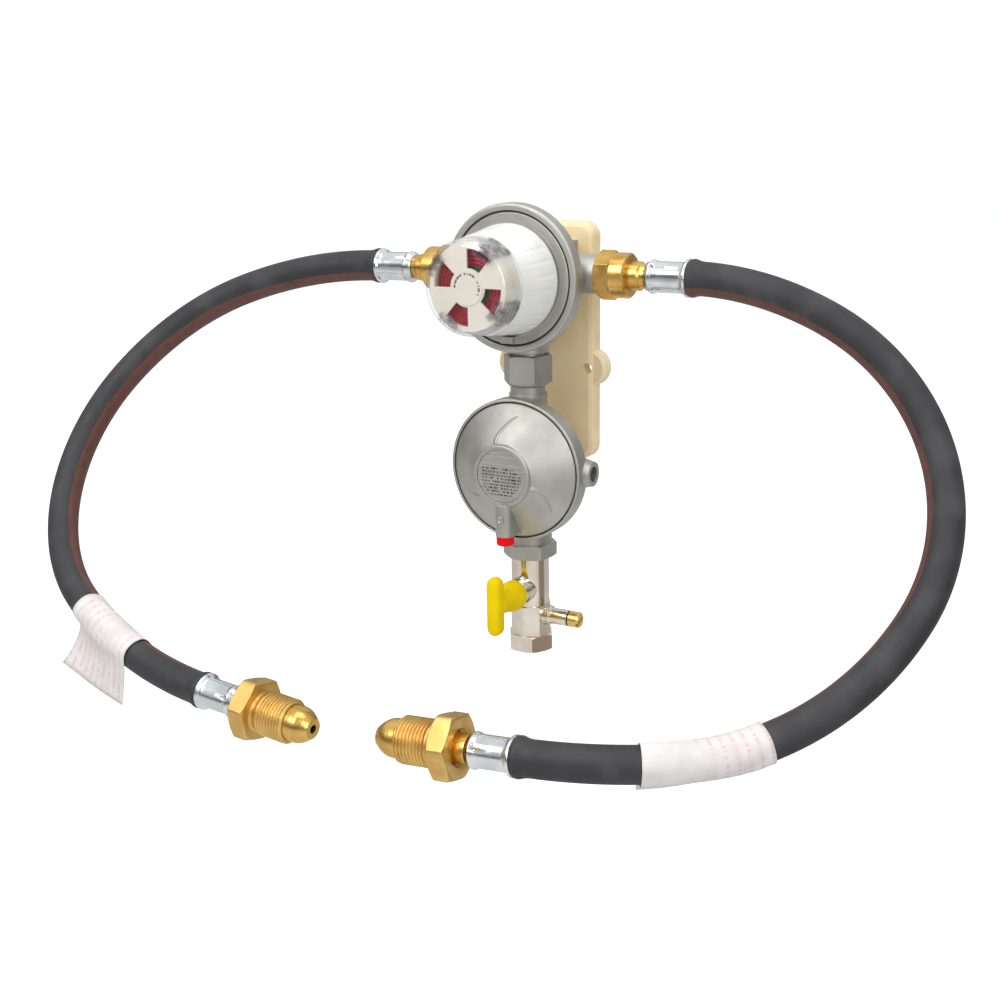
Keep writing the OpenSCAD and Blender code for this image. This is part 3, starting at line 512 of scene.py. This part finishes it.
def clear_plastic():
    """Clear moulded cover: seen through head on, reflecting at a slant, with fine scratches.
    Its flank carries painted dark refractions of the four windows, a quarter turn apart."""
    first_window, flank_r = math.radians(58), 17.1
    p = Paint("clear_plastic")
    scratches = p.ramp(p.noise(420, 6.0, (1, 1, 0.1)), 0.6, 0.7)
    waves = p.bump(p.noise(40, 2.0), 0.12)
    slant = p.add("LayerWeight", Blend=0.5, Normal=waves).outputs["Facing"]
    shine = p.ramp(slant, 0.3, 0.98, 0.03, 0.6)
    radius, angle = from_indicator_axis(p)
    quarters = p.math("COSINE", p.math("MULTIPLY", p.math("SUBTRACT", angle, first_window), 4.0))
    flank = p.ramp(radius, (flank_r - 0.5) * MM, (flank_r + 0.5) * MM)
    ripple = p.ramp(p.noise(260, 3.0), 0.36, 0.6, 0.35, 1.0)
    # Painted refraction: dark patches on the flank where the windows would show through the cover.
    painted_window_refraction = p.math("MULTIPLY", p.math("MULTIPLY", p.ramp(quarters, 0.25, 0.5), flank), ripple)
    haze = p.math("ADD", shine, p.math("MULTIPLY", scratches, 0.04))
    return p.finish(
        Base_Color=p.mix(painted_window_refraction, (0.84, 0.86, 0.90), (0.13, 0.12, 0.16)),
        Metallic=1.0,
        Roughness=p.math("ADD", 0.03, p.math("MULTIPLY", scratches, 0.12)),
        Alpha=p.math("MAXIMUM", haze, p.math("MULTIPLY", painted_window_refraction, 0.42)),
        Normal=waves,
    )


def floor_paint():
    """Pale floor, faintly mottled, lifted towards white where the camera sees it directly.
    Polished parts see a darker band painted into the floor for reflections only, standing in for the edge of
    the studio."""
    board_at, board_half = 0.16, 0.36
    p = Paint("floor_paint")
    cloud = p.noise(1.5, 3.0)
    seen = p.add("LightPath").outputs["Is Camera Ray"]
    mirrored = p.add("LightPath").outputs["Is Glossy Ray"]
    spot = p.add("SeparateXYZ", Vector=p.add("NewGeometry").outputs["Position"])
    turn = p.math("ARCTAN2", spot.outputs[1], spot.outputs[0])
    off_board = p.math("ABSOLUTE", p.math("SUBTRACT", turn, board_at))
    # Painted reflection: the floor turns darker in a band, for glossy rays only.
    painted_dark_reflection = p.ramp(off_board, board_half - 0.06, board_half + 0.06, 1.0, 0.0)
    pale = p.mix(cloud, (0.60, 0.60, 0.60), (0.64, 0.64, 0.64))
    return p.finish(
        Base_Color=p.mix(p.math("MULTIPLY", painted_dark_reflection, mirrored), pale, (0.27, 0.23, 0.19)),
        Roughness=0.7,
        Emission_Color=(1.0, 1.0, 1.0),
        Emission_Strength=p.math("MULTIPLY", seen, 0.62),
    )


MATERIALS = {
    "cream_plastic": plastic(
        "cream_moulding", (0.84, 0.65, 0.37), (0.91, 0.74, 0.47),
        rough=(0.45, 0.6), texture=1800, depth=0.02
    ),
    "steel": metal(
        "zinc_steel", (0.42, 0.43, 0.45), (0.58, 0.59, 0.61), (0.58, 0.59, 0.61),
        rough=(0.25, 0.38), grain=1200, depth=0.008
    ),
    "die_cast_zinc": metal(
        "cast_zinc", (0.46, 0.455, 0.415), (0.52, 0.515, 0.475), (0.68, 0.69, 0.68),
        rough=(0.46, 0.55), grain=2300, depth=0.024, edge=0.5
    ),
    "black_rubber": plastic(
        "seal_rubber", (0.012, 0.012, 0.012), (0.022, 0.022, 0.024),
        rough=(0.5, 0.65), texture=2000, depth=0.02
    ),
    "brass": metal(
        "turned_brass", (0.62, 0.36, 0.085), (0.80, 0.53, 0.16), (0.95, 0.74, 0.36),
        rough=(0.20, 0.34), grain=1500, depth=0.008
    ),
    "zinc_plate": metal(
        "zinc_plate", (0.60, 0.64, 0.66), (0.80, 0.83, 0.84), (0.92, 0.94, 0.95),
        rough=(0.10, 0.24), grain=900, depth=0.006
    ),
    "nickel_plate": metal(
        "nickel_plate", (0.70, 0.62, 0.52), (0.82, 0.76, 0.67), (0.96, 0.92, 0.84),
        rough=(0.07, 0.16), grain=800, depth=0.010
    ),
    "white_plastic": plastic(
        "white_moulding", (0.86, 0.83, 0.78), (0.92, 0.895, 0.85),
        rough=(0.16, 0.26), texture=900, depth=0.006, Subsurface_Weight=0.1
    ),
    "clear_plastic": clear_plastic(),
    "mask_plastic": mask_print(),
    "drum_red": drum_plastic(),
    "plate_aluminium": plate_print(),
    "white_nylon": plastic(
        "nylon", (0.72, 0.72, 0.70), (0.80, 0.80, 0.78),
        rough=(0.4, 0.5), texture=1500, depth=0.01
    ),
    "red_plastic": plastic(
        "red_moulding", (0.72, 0.0, 0.004), (0.84, 0.002, 0.008),
        rough=(0.4, 0.5), texture=1500, depth=0.01, Specular_IOR_Level=0.15
    ),
    "yellow_plastic": plastic(
        "yellow_moulding", (0.74, 0.53, 0.0), (0.82, 0.61, 0.0),
        rough=(0.5, 0.65), texture=1300, depth=0.03, Specular_IOR_Level=0.1
    ),
    "tag_paper": tag_paper(),
}
HOSE_RUBBER = hose_rubber()
FORGED_BRASS = metal(
    "forged_brass", (0.64, 0.40, 0.12), (0.80, 0.56, 0.20), (0.95, 0.76, 0.40),
    rough=(0.34, 0.48), grain=700, depth=0.03
)


def paint_frame():
    """Every CAD node takes the material of its slot."""
    for part in frame["record"]["subparts"]:
        mesh = frame["nodes"][part["node"]].data
        mesh.materials.clear()
        mesh.materials.append(MATERIALS[part["material_slot"]])


# ---- Hoses, ferrules and tags -------------------------------------------------------------------

# Outside of a hose at its end, as (distance from the ferrule's mouth, radius): pinched inside the
# ferrule, then bulging out of it
MOUTH = (
    (-CRIMP, 6.9), (-2.4, 6.9), (-0.4, 8.4), (0.2, 9.1), (0.9, 9.5), (1.7, 9.6), (2.6, 9.45), (3.6, 9.1),
    (4.8, 8.75), (6.4, HOSE_R),
)


def ring(place, radius, n):
    """n points round a place on the hose."""
    point, ahead, up, across = place
    return [point + up * x + across * y for angle, x, y in circle(n, radius)]


def hose(side):
    """One smooth tube for both CAD halves."""
    total = hose_length(side)
    outside_step, bore_step = 3, 8
    plain_from = MOUTH[-1][0] + outside_step
    outer = list(MOUTH)
    outer += [(s, HOSE_R) for s in steps(plain_from, total - plain_from, outside_step)]
    outer += [(total - s, r) for s, r in reversed(MOUTH)]
    inner = [(s, BORE_R) for s in steps(total + CRIMP, -CRIMP, bore_step)]
    stations = outer + inner
    rows = [ring(hose_place(side, s), r, 48) for s, r in stations]
    piece = skin(f"{side}_hose", rows, HOSE_RUBBER, ends="joined", along=[s for s, r in stations])
    if side == "left":  # the stripe faces inwards on both hoses
        for loop in piece.data.uv_layers[0].data:
            loop.uv.x = 1 - loop.uv.x
    point, ahead, up, across = hose_place(side, FLEX_AT)
    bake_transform(piece)
    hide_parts(f"{side}_hose_upper", f"{side}_hose_lower")


# Outside of a ferrule, as (height from its mouth, radius): bead, barrel and far bead
FERRULE = (
    (0.0, 8.9), (0.1, 9.2), (0.5, 9.5), (1.0, 9.6), (1.5, 9.45), (2.0, 9.0), (2.6, 8.3), (3.2, 8.0),
    (3.8, 7.9), (18.0, 7.9), (18.6, 8.1), (19.2, 8.45), (19.9, 8.6), (20.6, 8.45), (21.3, 7.9),
    (22.0, 7.4), (22.9, 7.2),
)
# Its inside: the bore of the far end, the barrel round the hose and the flared mouth
FERRULE_BORE = 7.1
FERRULE_INSIDE = ((4.6, 22.9), (4.6, 21.9), (FERRULE_BORE, 21.4), (FERRULE_BORE, 2.5), (8.6, 0.1))
# Pressed flats round the barrel and their depth; depth and half width (radians) of the stake marks
FLATS, FLAT_DEPTH = 8, 0.16
STAKE_DEPTH, STAKE_HALF = 1.3, 0.13


def crimp_marks(angle, radius, height):
    """Pressed flats along the barrel and four deep stake marks behind the far bead, both on the
    outer wall only."""
    if radius <= FERRULE_BORE:
        return radius
    pressed = between(((3.0, 0), (4.5, 1), (17.5, 1), (18.6, 0)), height)
    radius -= FLAT_DEPTH * pressed * (0.5 + 0.5 * math.cos(FLATS * angle))
    off = abs((angle - math.pi / 4) % (math.pi / 2) - math.pi / 4)
    stake = max(0.0, 1 - abs(math.pi / 4 - off) / STAKE_HALF)
    staked = between(((17.6, 0), (18.0, 1), (19.6, 1), (20.2, 0)), height)
    return radius - STAKE_DEPTH * min(1.0, 2 * stake) * staked


def ferrule(name, place, body, node):
    """Crimped ferrule, with its bore and both beads."""
    barrel_from, barrel_to, bead_from, bead_to = 4.5, 17.5, 17.7, 20.5
    heights = [h for h, r in FERRULE if h < barrel_from]
    heights += steps(barrel_from, barrel_to, 6.5) + steps(bead_from, bead_to, 0.25)
    heights += [h for h, r in FERRULE if h > bead_to]
    outline = [(between(FERRULE, h), h) for h in heights]
    outline += FERRULE_INSIDE
    piece = turned(name, outline, place, MATERIALS["zinc_plate"], n=120, wave=crimp_marks, ends="joined")
    dressed(piece, body, "zinc_plate", node)


# Paper tags. first and last are distances along the hose; hang is the direction in which the tail
# hangs, tail its length, way the sense of the wrap and sweep its angle; drape makes the tail fall.
TAGS = {
    "left": {"first": 356, "last": 408, "hang": -80, "tail": 24, "way": -1, "sweep": 276, "drape": 1.0},
    "right": {"first": 329, "last": 386, "hang": 115, "tail": 12, "way": 1, "sweep": 337, "drape": 0.0},
}
TAG_R = HOSE_R + 0.8
PAPER_HALF = 0.09
# Steps of the mesh round the hose, down the tail and along the hose
WRAP_STEPS, TAIL_STEPS, TAG_STEPS = 40, 12, 28


def tag_wrap(tag, share):
    """The stretch of paper round the hose, slightly loose, at a share along the tag."""
    start = math.radians(tag["hang"])
    lead_in = 8
    sweep = tag["sweep"] + 30 * tag["drape"] * (1 - share) ** 2
    points = []
    for i in range(WRAP_STEPS + 1):
        angle = start + tag["way"] * math.radians(lead_in + sweep * i / WRAP_STEPS)
        loose = 0.22 * math.sin(2 * angle + 5 * share) + 0.15 * math.sin(5 * angle - 9 * share)
        points.append(Vector((math.cos(angle), math.sin(angle))) * (TAG_R + loose))
    return points


def tag_strip(tag, share):
    """Middle line of the paper at a share (0 to 1) along the tag: round the hose, then the tail.
    A draped tail comes off the side of the hose and falls like a cloth, flaring at its first corner."""
    drape = tag["drape"]
    start = math.radians(tag["hang"])
    points = tag_wrap(tag, share)
    outward_way = Vector((math.cos(start), math.sin(start)))
    sideways = Vector((-math.sin(start), math.cos(start)))
    leave = points[-1]
    heading = (points[-1] - points[-2]).normalized()
    flare = drape * (0.85 * TAG_R + 5.5 * (1 - share) ** 3 + share ** 4)
    fall = TAG_R + tag["tail"] * (1 + 0.3 * drape * (0.5 - share))
    stop = outward_way * fall + sideways * flare
    stop -= sideways * (1 - drape) * 1.8
    knee = leave + heading * (2 + 8 * drape)
    for i in range(1, TAIL_STEPS + 1):
        k = i / TAIL_STEPS
        ripple = sideways * 0.5 * math.sin(5 * k + 6 * share) * k
        points.append(leave * (1 - k) ** 2 + knee * 2 * k * (1 - k) + stop * k * k + ripple)
    return points


def paper_loop(line, place, slack):
    """Points round the paper's section: one face out along its middle line, then the other back.
    slack is how far (mm) the end of the tail slips back along the hose."""
    point, ahead, up, across = place
    last = len(line) - 1
    loop = []
    for way in (1, -1):
        order = range(last + 1) if way > 0 else range(last, -1, -1)
        for j in order:
            run = line[min(j + 1, last)] - line[max(j - 1, 0)]
            normal = Vector((run.y, -run.x)).normalized()
            flat = line[j] + normal * PAPER_HALF * way
            down = max(0, j - WRAP_STEPS) / TAIL_STEPS
            loop.append(point + up * flat.x - across * flat.y - ahead * slack * down * down)
    return loop[::-1]


def date_tag(side):
    """A strip of paper wrapped round the hose, its tail hanging and curling at the corners."""
    tag = TAGS[side]
    length = tag["last"] - tag["first"]
    tail_slack = 3
    rows = []
    along = []
    for i in range(TAG_STEPS + 1):
        share = i / TAG_STEPS
        s = tag["first"] + length * share
        slack = tail_slack * tag["drape"] * (1 - share + share ** 4)
        rows.append(paper_loop(tag_strip(tag, share), hose_place(side, s), slack))
        along.append(s - tag["first"])
    piece = skin(f"{side}_date_tag_paper", rows, MATERIALS["tag_paper"], ends="capped", along=along)
    dressed(piece, f"{side}_hose_end", "tag_paper", f"{side}_date_tag")


# ---- Cylinder nuts ------------------------------------------------------------------------------

# Heights of the hexagon and the thread above the hose's end, and their sizes
HEX_FROM, HEX_TO, HEX_ACROSS = 28.2, 37.7, 28.6
THREAD_FROM, THREAD_TO, THREAD_R, PITCH = 40.7, 58.0, 11.175, 1.814
# Radii of the turned faces beside the hexagon, of the undercut behind the thread, of the nose at
# the thread's end, of the nut's bore and of the wider bore in its foot
FACE_R, UNDERCUT_R, NOSE_R, NUT_BORE, FOOT_BORE = 13.0, 9.6, 9.4, 7.05, 8.6


def hexagon(angle, across, first_corner):
    """Distance from the middle of a hexagon to its side in a direction."""
    turn = (angle - first_corner) % (math.pi / 3) - math.pi / 6
    return across / 2 / math.cos(turn)


def thread(angle, height):
    """Radius of the left-hand thread, running out at its foot and chamfered at its end."""
    phase = (height / PITCH + angle / (2 * math.pi)) % 1
    ridge = min(1.0, max(0.0, 1.3 * (1 - abs(2 * phase - 1)) - 0.15))
    depth = between(((THREAD_FROM, 1.25), (THREAD_FROM + 1.5, 1.1)), height)
    shown = between(((THREAD_FROM, 0), (THREAD_FROM + 1.6, 1)), height)
    radius = THREAD_R - depth + depth * ridge * shown
    return min(radius, THREAD_R - 1.35 + 1.1 * (THREAD_TO - height))


def nut_wave(angle, radius, height):
    """Outline points at HEX_ACROSS become the hexagon with its turned-off corners, and those at
    THREAD_R the thread."""
    if radius == HEX_ACROSS:
        corner = HEX_ACROSS / 2 / math.cos(math.pi / 6)
        from_face = min(height - HEX_FROM, HEX_TO - height)
        return min(hexagon(angle, HEX_ACROSS, math.pi / 6), corner - 1.9 + 1.75 * from_face)
    if radius == THREAD_R:
        return thread(angle, height)
    return radius


def cylinder_nut(side):
    """Hexagon with turned-off corners, an undercut and a cut thread, with its bore."""
    chamfer, foot = 1.6, HEX_FROM + 2.5
    outline = [(FACE_R, HEX_FROM)]
    outline += [(HEX_ACROSS, h) for h in steps(HEX_FROM, HEX_FROM + chamfer, 0.2)]
    outline += [(HEX_ACROSS, h) for h in steps(HEX_TO - chamfer, HEX_TO, 0.2)]
    outline += [(FACE_R, HEX_TO), (10.9, HEX_TO), (10.2, HEX_TO + 0.2), (9.8, HEX_TO + 0.7)]
    outline += [(UNDERCUT_R, HEX_TO + 1.3), (UNDERCUT_R, THREAD_FROM - 0.4)]
    outline += [(THREAD_R, h) for h in steps(THREAD_FROM, THREAD_TO, PITCH / 14)]
    outline += [(NOSE_R, THREAD_TO), (NUT_BORE, THREAD_TO), (NUT_BORE, foot), (FOOT_BORE, foot)]
    outline += [(FOOT_BORE, HEX_FROM + 0.5), (FOOT_BORE + 0.5, HEX_FROM)]
    name = f"{side}_cylinder_nut"
    piece = turned(name, outline, hose_end(side), FORGED_BRASS, wave=nut_wave, ends="joined")
    dressed(piece, f"{side}_cylinder_union", "brass", f"{side}_pol_nut")


# ---- Valve handle -------------------------------------------------------------------------------

def rounded_loop(x, y, width, height, power, n=40):
    """Points on a rounded rectangle (a superellipse) about (x, y)."""
    points = []
    for angle, c, s in circle(n):
        px = math.copysign(abs(c) ** (2 / power), c) * width / 2
        py = math.copysign(abs(s) ** (2 / power), s) * height / 2
        points.append((x + px, y + py))
    return points


# Width and depth of the handle's bar in mm; outline of its hub as (distance from the pipe axis,
# radius), and how much taller than wide the hub is
BAR_W, BAR_DEPTH = 8.4, 8
HUB = ((16.7, 6.2), (17.3, 7.2), (19, 7.7), (22, 7.7), (25, 7.1), (29, 6.0), (33, 5.3), (37, 5.2), (40, 4.0))
HUB_TALL = 1.12


def handle_bar(half, front):
    """The bar of the T: half its length to each side, rounded off at both ends."""
    reach = half - BAR_W * 0.55
    rows = []
    for share in [math.sin(math.pi / 2 * t / 12) for t in range(-12, 13)]:
        y = half * share
        over = max(0.0, (abs(y) - reach) / (half - reach))
        slim = math.sqrt(max(0.0, 1 - over ** 2.2)) + 0.02
        thickness = BAR_DEPTH * (0.35 + 0.65 * slim)
        loop = rounded_loop(0, front - BAR_DEPTH / 2, BAR_W * slim, thickness, 3.0)
        rows.append([Vector((px, y, depth)) for px, depth in loop])
    return skin("valve_handle_moulding", rows, MATERIALS["yellow_plastic"], ends="capped")


def handle_hub():
    """The bulging hub between the valve's stem and the bar."""
    rows = []
    for depth, radius in HUB:
        rows.append([Vector((radius * x, radius * HUB_TALL * y, depth)) for angle, x, y in circle(40)])
    return skin("valve_handle_hub", rows, MATERIALS["yellow_plastic"], ends="capped")


def melt(piece, voxel, passes):
    """Remeshes a piece whose closed shapes overlap into one soft-edged shape."""
    remesh = piece.modifiers.new("melt", "REMESH")
    remesh.mode = "VOXEL"
    remesh.voxel_size = voxel * MM
    remesh.use_smooth_shade = True
    smooth = piece.modifiers.new("smooth", "SMOOTH")
    smooth.factor = 0.5
    smooth.iterations = passes


def valve_handle():
    """T-handle: a rounded bar on a bulging hub, melted together as one moulding."""
    low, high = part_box("valve_handle")
    bar = handle_bar((high.z - low.z) / MM / 2, (PIPE_Y - low.y) / MM)
    take_faces(bar, handle_hub())
    bar.data.transform(outward(STEM_Z))
    melt(bar, 0.45, 8)
    dressed(bar, "shut_off", "yellow_plastic", "valve_handle")


# ---- Cover of the second stage ------------------------------------------------------------------

# The cone of the cover, as (radius, distance from the pipe axis), and its normal (out, forward)
CONE = ((17.4, 30.4), (36.2, 17.2))
CONE_NORMAL = (0.575, 0.818)
# Number of vanes, the direction of the first (degrees), and the radii between which they run
VANES, FIRST_VANE = 3, 105
VANE_FROM, VANE_TO = 16.6, 31.0
# Section of a vane as (across, above the cone): a slow rise, a sharp fall and a foot in the cone
VANE_SECTION = (
    (-2.6, -0.25), (-1.6, 0.05), (-0.7, 0.38), (-0.15, 0.55), (0.2, 0.45), (0.45, 0.1), (0.6, -0.35),
    (0.0, -0.8), (-1.6, -0.8),
)


def vane_row(first, share):
    """Section of a vane at a share (0 to 1) of its way out; it sweeps round and fades out."""
    angle = first - math.radians(24) * share ** 1.2 - math.radians(9) * math.exp(-12 * share)
    fade = math.sin(math.pi * min(1.0, 0.08 + share * 0.92)) ** 0.4 if share > 0.5 else 1.0
    out = Vector((math.cos(angle), math.sin(angle), 0))
    side = Vector((-math.sin(angle), math.cos(angle), 0))
    forward = Vector((0, 0, 1))
    radius = VANE_FROM + (VANE_TO - VANE_FROM) * share
    base = out * radius + forward * between(CONE, radius)
    normal = (out * CONE_NORMAL[0] + forward * CONE_NORMAL[1]).normalized()
    width = 0.4 + 0.6 * fade
    return [base - side * x * width + normal * (z * fade if z > 0 else z) for x, z in VANE_SECTION]


def cover_vane(index):
    """A low curved rib that sweeps out from the plate ring across the cone."""
    first = math.radians(FIRST_VANE + 360 / VANES * index)
    rows = [vane_row(first, share) for share in steps(0, 1, 1 / 24)]
    piece = skin(f"cover_vane_{index}", rows, MATERIALS["die_cast_zinc"], ends="capped")
    piece.data.transform(outward(STAGE2_Z))
    dressed(piece, "root", "die_cast_zinc")


# Outline of the rivet's head, as (radius, height), with a dimple in its middle
RIVET = (
    (0.01, -0.1), (2.0, -0.1), (2.0, 0.75), (1.8, 1.0), (1.3, 1.05), (1.05, 0.8), (0.5, 0.65), (0.01, 0.65),
)


def rib_rivet():
    """Small riveted plug on the front of the cover's rib."""
    drop, sunk = 23.6, 0.2
    front = (PIPE_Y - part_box("stage2_cover")[0].y) / MM
    place = outward(STAGE2_Z) @ Matrix.Translation((0, -drop * MM, (front - sunk) * MM))
    piece = turned("rib_rivet", RIVET, place, MATERIALS["die_cast_zinc"], n=40)
    dressed(piece, "root", "die_cast_zinc")


# ---- Springs and diaphragms ---------------------------------------------------------------------

# Node: sliding body, wire radius in mm, turns, way from the fixed end to the sliding end
SPRINGS = {
    "changeover_spring": ("changeover_piston", 1.1, 5, (0, 1, 0)),
    "stage2_spring": ("stage2_piston", 0.8, 4, (0, 1, 0)),
    "indicator_spring": ("indicator", 0.4, 3, (0, -1, 0)),
    "reset_spring": ("reset_button", 0.4, 6, (0, 0, 1)),
}


def spring(node):
    """A coil with closed ends, wound from the still end towards the sliding end."""
    body, wire, turns, way = SPRINGS[node]
    low, high = (Vector(v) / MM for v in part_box(node))
    way = Vector(way)
    length = abs((high - low).dot(way))
    fixed = (low + high) / 2 - way * length / 2
    side = Vector((1, 0, 0))
    other = way.cross(side)
    radius = (high - low).x / 2 - wire
    end_turn, end_rise, steps_a_turn = 0.8, 2.9 * wire, 24
    rise = ((0, wire), (end_turn, end_rise), (turns - end_turn, length - end_rise), (turns, length - wire))
    rows = []
    for i in range(turns * steps_a_turn + 1):
        turn = i / steps_a_turn
        out = side * math.cos(2 * math.pi * turn) + other * math.sin(2 * math.pi * turn)
        centre = fixed + out * radius + way * between(rise, turn)
        rows.append([centre + out * x - way * y for angle, x, y in circle(8, wire)])
    piece = skin(f"{node}_coil", rows, MATERIALS["steel"], ends="capped")
    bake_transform(piece)
    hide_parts(node)


# Sizes in mm of each diaphragm: radii of its hole, of the plate on it and of the inside of its
# clamped rim, width of the rim's lip, thickness at the clamp, and how far the middle is set back
DIAPHRAGMS = {
    "changeover_diaphragm": {
        "hole": 3.1, "plate": 22.2, "clamp": 25.6, "lip": 0.7, "thick": 1.4, "travel": 1.05
    },
    "stage2_diaphragm": {
        "hole": 2.6, "plate": 23.0, "clamp": 31.5, "lip": 0.65, "thick": 1.2, "travel": 1.15
    },
}
# Thickness of the free sheet, and height and steps of its rolled fold
SHEET, FOLD_RISE, FOLD_STEPS = 0.8, 1.8, 8


def diaphragm(node):
    """Moulded rubber sheet: clamped rim, one rolled fold and a middle set back by the plate's travel."""
    size = DIAPHRAGMS[node]
    low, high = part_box(node)
    seat, top = (PIPE_Y - high.y) / MM, (PIPE_Y - low.y) / MM
    rim = (high.x - low.x) / 2 / MM
    lip = rim - size["lip"]
    clamped = seat + size["thick"]
    front = clamped - size["travel"]
    fold = (size["plate"] + size["clamp"]) / 2
    reach = (size["clamp"] - size["plate"]) / 2
    back_line = [(size["hole"], front - SHEET), (size["plate"], front - SHEET)]
    front_line = [(size["hole"], front), (size["plate"], front)]
    for i in range(1, FOLD_STEPS):
        angle = math.pi * (1 - i / FOLD_STEPS)
        across, up = fold + reach * math.cos(angle), seat + FOLD_RISE * math.sin(angle)
        back_line.append((across, up - SHEET / 2))
        front_line.append((across, up + SHEET / 2))
    outline = back_line + [(size["clamp"], seat), (rim, seat), (rim, top), (lip, top)]
    outline += [(lip, clamped), (size["clamp"], clamped)] + front_line[::-1]
    place = outward(middle(node).z)
    piece = turned(f"{node}_sheet", outline, place, MATERIALS["black_rubber"], n=144, ends="joined")
    dressed(piece, "root", "black_rubber", node)


# ---- Stage --------------------------------------------------------------------------------------

# How far the floor lies below the object, so that the hoses clear it wherever they swing
FLOOR_DROP = 320
FLOOR_REACH = 6000
# Studio lamps: place and size in metres, and power in watts; all point at LIT
LIT = (0, -0.08, -0.02)
LAMPS = {
    "key": ((-0.5, -1.35, 1.05), (0.8, 0.8), 11),
    "fill": ((1.15, -1.0, 0.55), (0.5, 1.1), 7),
    "top": ((0.1, -0.3, 1.6), (1.4, 0.8), 9),
}


def pale_floor():
    """Wide pale floor below the object."""
    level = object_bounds()[0].z / MM - FLOOR_DROP
    ends = (-FLOOR_REACH, FLOOR_REACH)
    rows = [[Vector((x, y, level)) for x in ends] for y in ends]
    skin("floor", rows, floor_paint(), closed=False)


def area_light(name):
    """A soft box from the table of lamps."""
    place, size, power = LAMPS[name]
    light = bpy.data.lights.new(name, "AREA")
    light.shape = "RECTANGLE"
    light.size, light.size_y = size
    light.energy = power
    lamp = bpy.data.objects.new(name, light)
    bpy.context.scene.collection.objects.link(lamp)
    lamp.location = place
    lamp.rotation_mode = "QUATERNION"
    lamp.rotation_quaternion = (Vector(LIT) - Vector(place)).to_track_quat("-Z", "Y")


def surround():
    """White surround that is dark low down and to the right; the camera itself sees plain white."""
    world = bpy.data.worlds.new("surround")
    bpy.context.scene.world = world
    world.use_nodes = True
    nodes, links = world.node_tree.nodes, world.node_tree.links
    coord = nodes.new("ShaderNodeTexCoord")
    parts = nodes.new("ShaderNodeSeparateXYZ")
    links.new(coord.outputs["Generated"], parts.inputs[0])
    glow = nodes.new("ShaderNodeValToRGB")
    links.new(parts.outputs[2], glow.inputs[0])
    ramp = glow.color_ramp
    ramp.elements[0].position, ramp.elements[0].color = 0.08, (0.16, 0.16, 0.17, 1)
    ramp.elements[1].position, ramp.elements[1].color = 0.5, (0.88, 0.88, 0.89, 1)
    flag = nodes.new("ShaderNodeMapRange")
    links.new(parts.outputs[0], flag.inputs["Value"])
    right_from, right_to, open_glow, flagged_glow = 0.80, 0.93, 1.0, 0.25
    for socket, number in zip(flag.inputs[1:5], (right_from, right_to, open_glow, flagged_glow)):
        socket.default_value = number
    shaded = nodes.new("ShaderNodeVectorMath")
    shaded.operation = "SCALE"
    links.new(glow.outputs[0], shaded.inputs[0])
    links.new(flag.outputs[0], shaded.inputs["Scale"])
    seen = nodes.new("ShaderNodeLightPath")
    pick = nodes.new("ShaderNodeMix")
    pick.data_type = "RGBA"
    links.new(seen.outputs["Is Camera Ray"], pick.inputs[0])
    links.new(shaded.outputs[0], pick.inputs[6])
    pick.inputs[7].default_value = (1, 1, 1, 1)
    links.new(pick.outputs[2], nodes["Background"].inputs["Color"])


# The camera's place in metres, its turns in degrees (yaw, pitch, roll) and its lens in mm
CAMERA_AT = (0.34275, -0.66729, 0.12813)
CAMERA_TURNS = (29.72, 15.43, -1.0)
LENS = 48.78


def camera():
    """Viewpoint to the right of the set and a little above it."""
    yaw, pitch, roll = (math.radians(turn) for turn in CAMERA_TURNS)
    back = Vector((math.sin(yaw) * math.cos(pitch), -math.cos(yaw) * math.cos(pitch), math.sin(pitch)))
    data = bpy.data.cameras.new("camera")
    data.sensor_width = 36
    data.lens = LENS
    data.clip_start, data.clip_end = 0.01, 50
    view = bpy.data.objects.new("camera", data)
    bpy.context.scene.collection.objects.link(view)
    right = -back.cross(Vector((0, 0, 1))).normalized()
    up = right.cross(-back)
    tilted_right = right * math.cos(roll) + up * math.sin(roll)
    tilted_up = up * math.cos(roll) - right * math.sin(roll)
    turned_view = Matrix((tilted_right, tilted_up, back)).transposed().to_4x4()
    view.matrix_world = Matrix.Translation(CAMERA_AT) @ turned_view
    bpy.context.scene.camera = view


# ---- Build --------------------------------------------------------------------------------------

paint_frame()
for side in SIDES:
    hose(side)
    ferrule(f"{side}_inlet_crimp", inlet_mouth(side), f"{side}_hose", f"{side}_inlet_ferrule")
    ferrule(f"{side}_cylinder_crimp", hose_end(side), f"{side}_hose_end", f"{side}_pol_ferrule")
    date_tag(side)
    cylinder_nut(side)
valve_handle()
for index in range(VANES):
    cover_vane(index)
rib_rivet()
for node in SPRINGS:
    spring(node)
for node in DIAPHRAGMS:
    diaphragm(node)
pale_floor()
for name in LAMPS:
    area_light(name)
surround()
camera()
bpy.context.scene.view_settings.view_transform = "Standard"
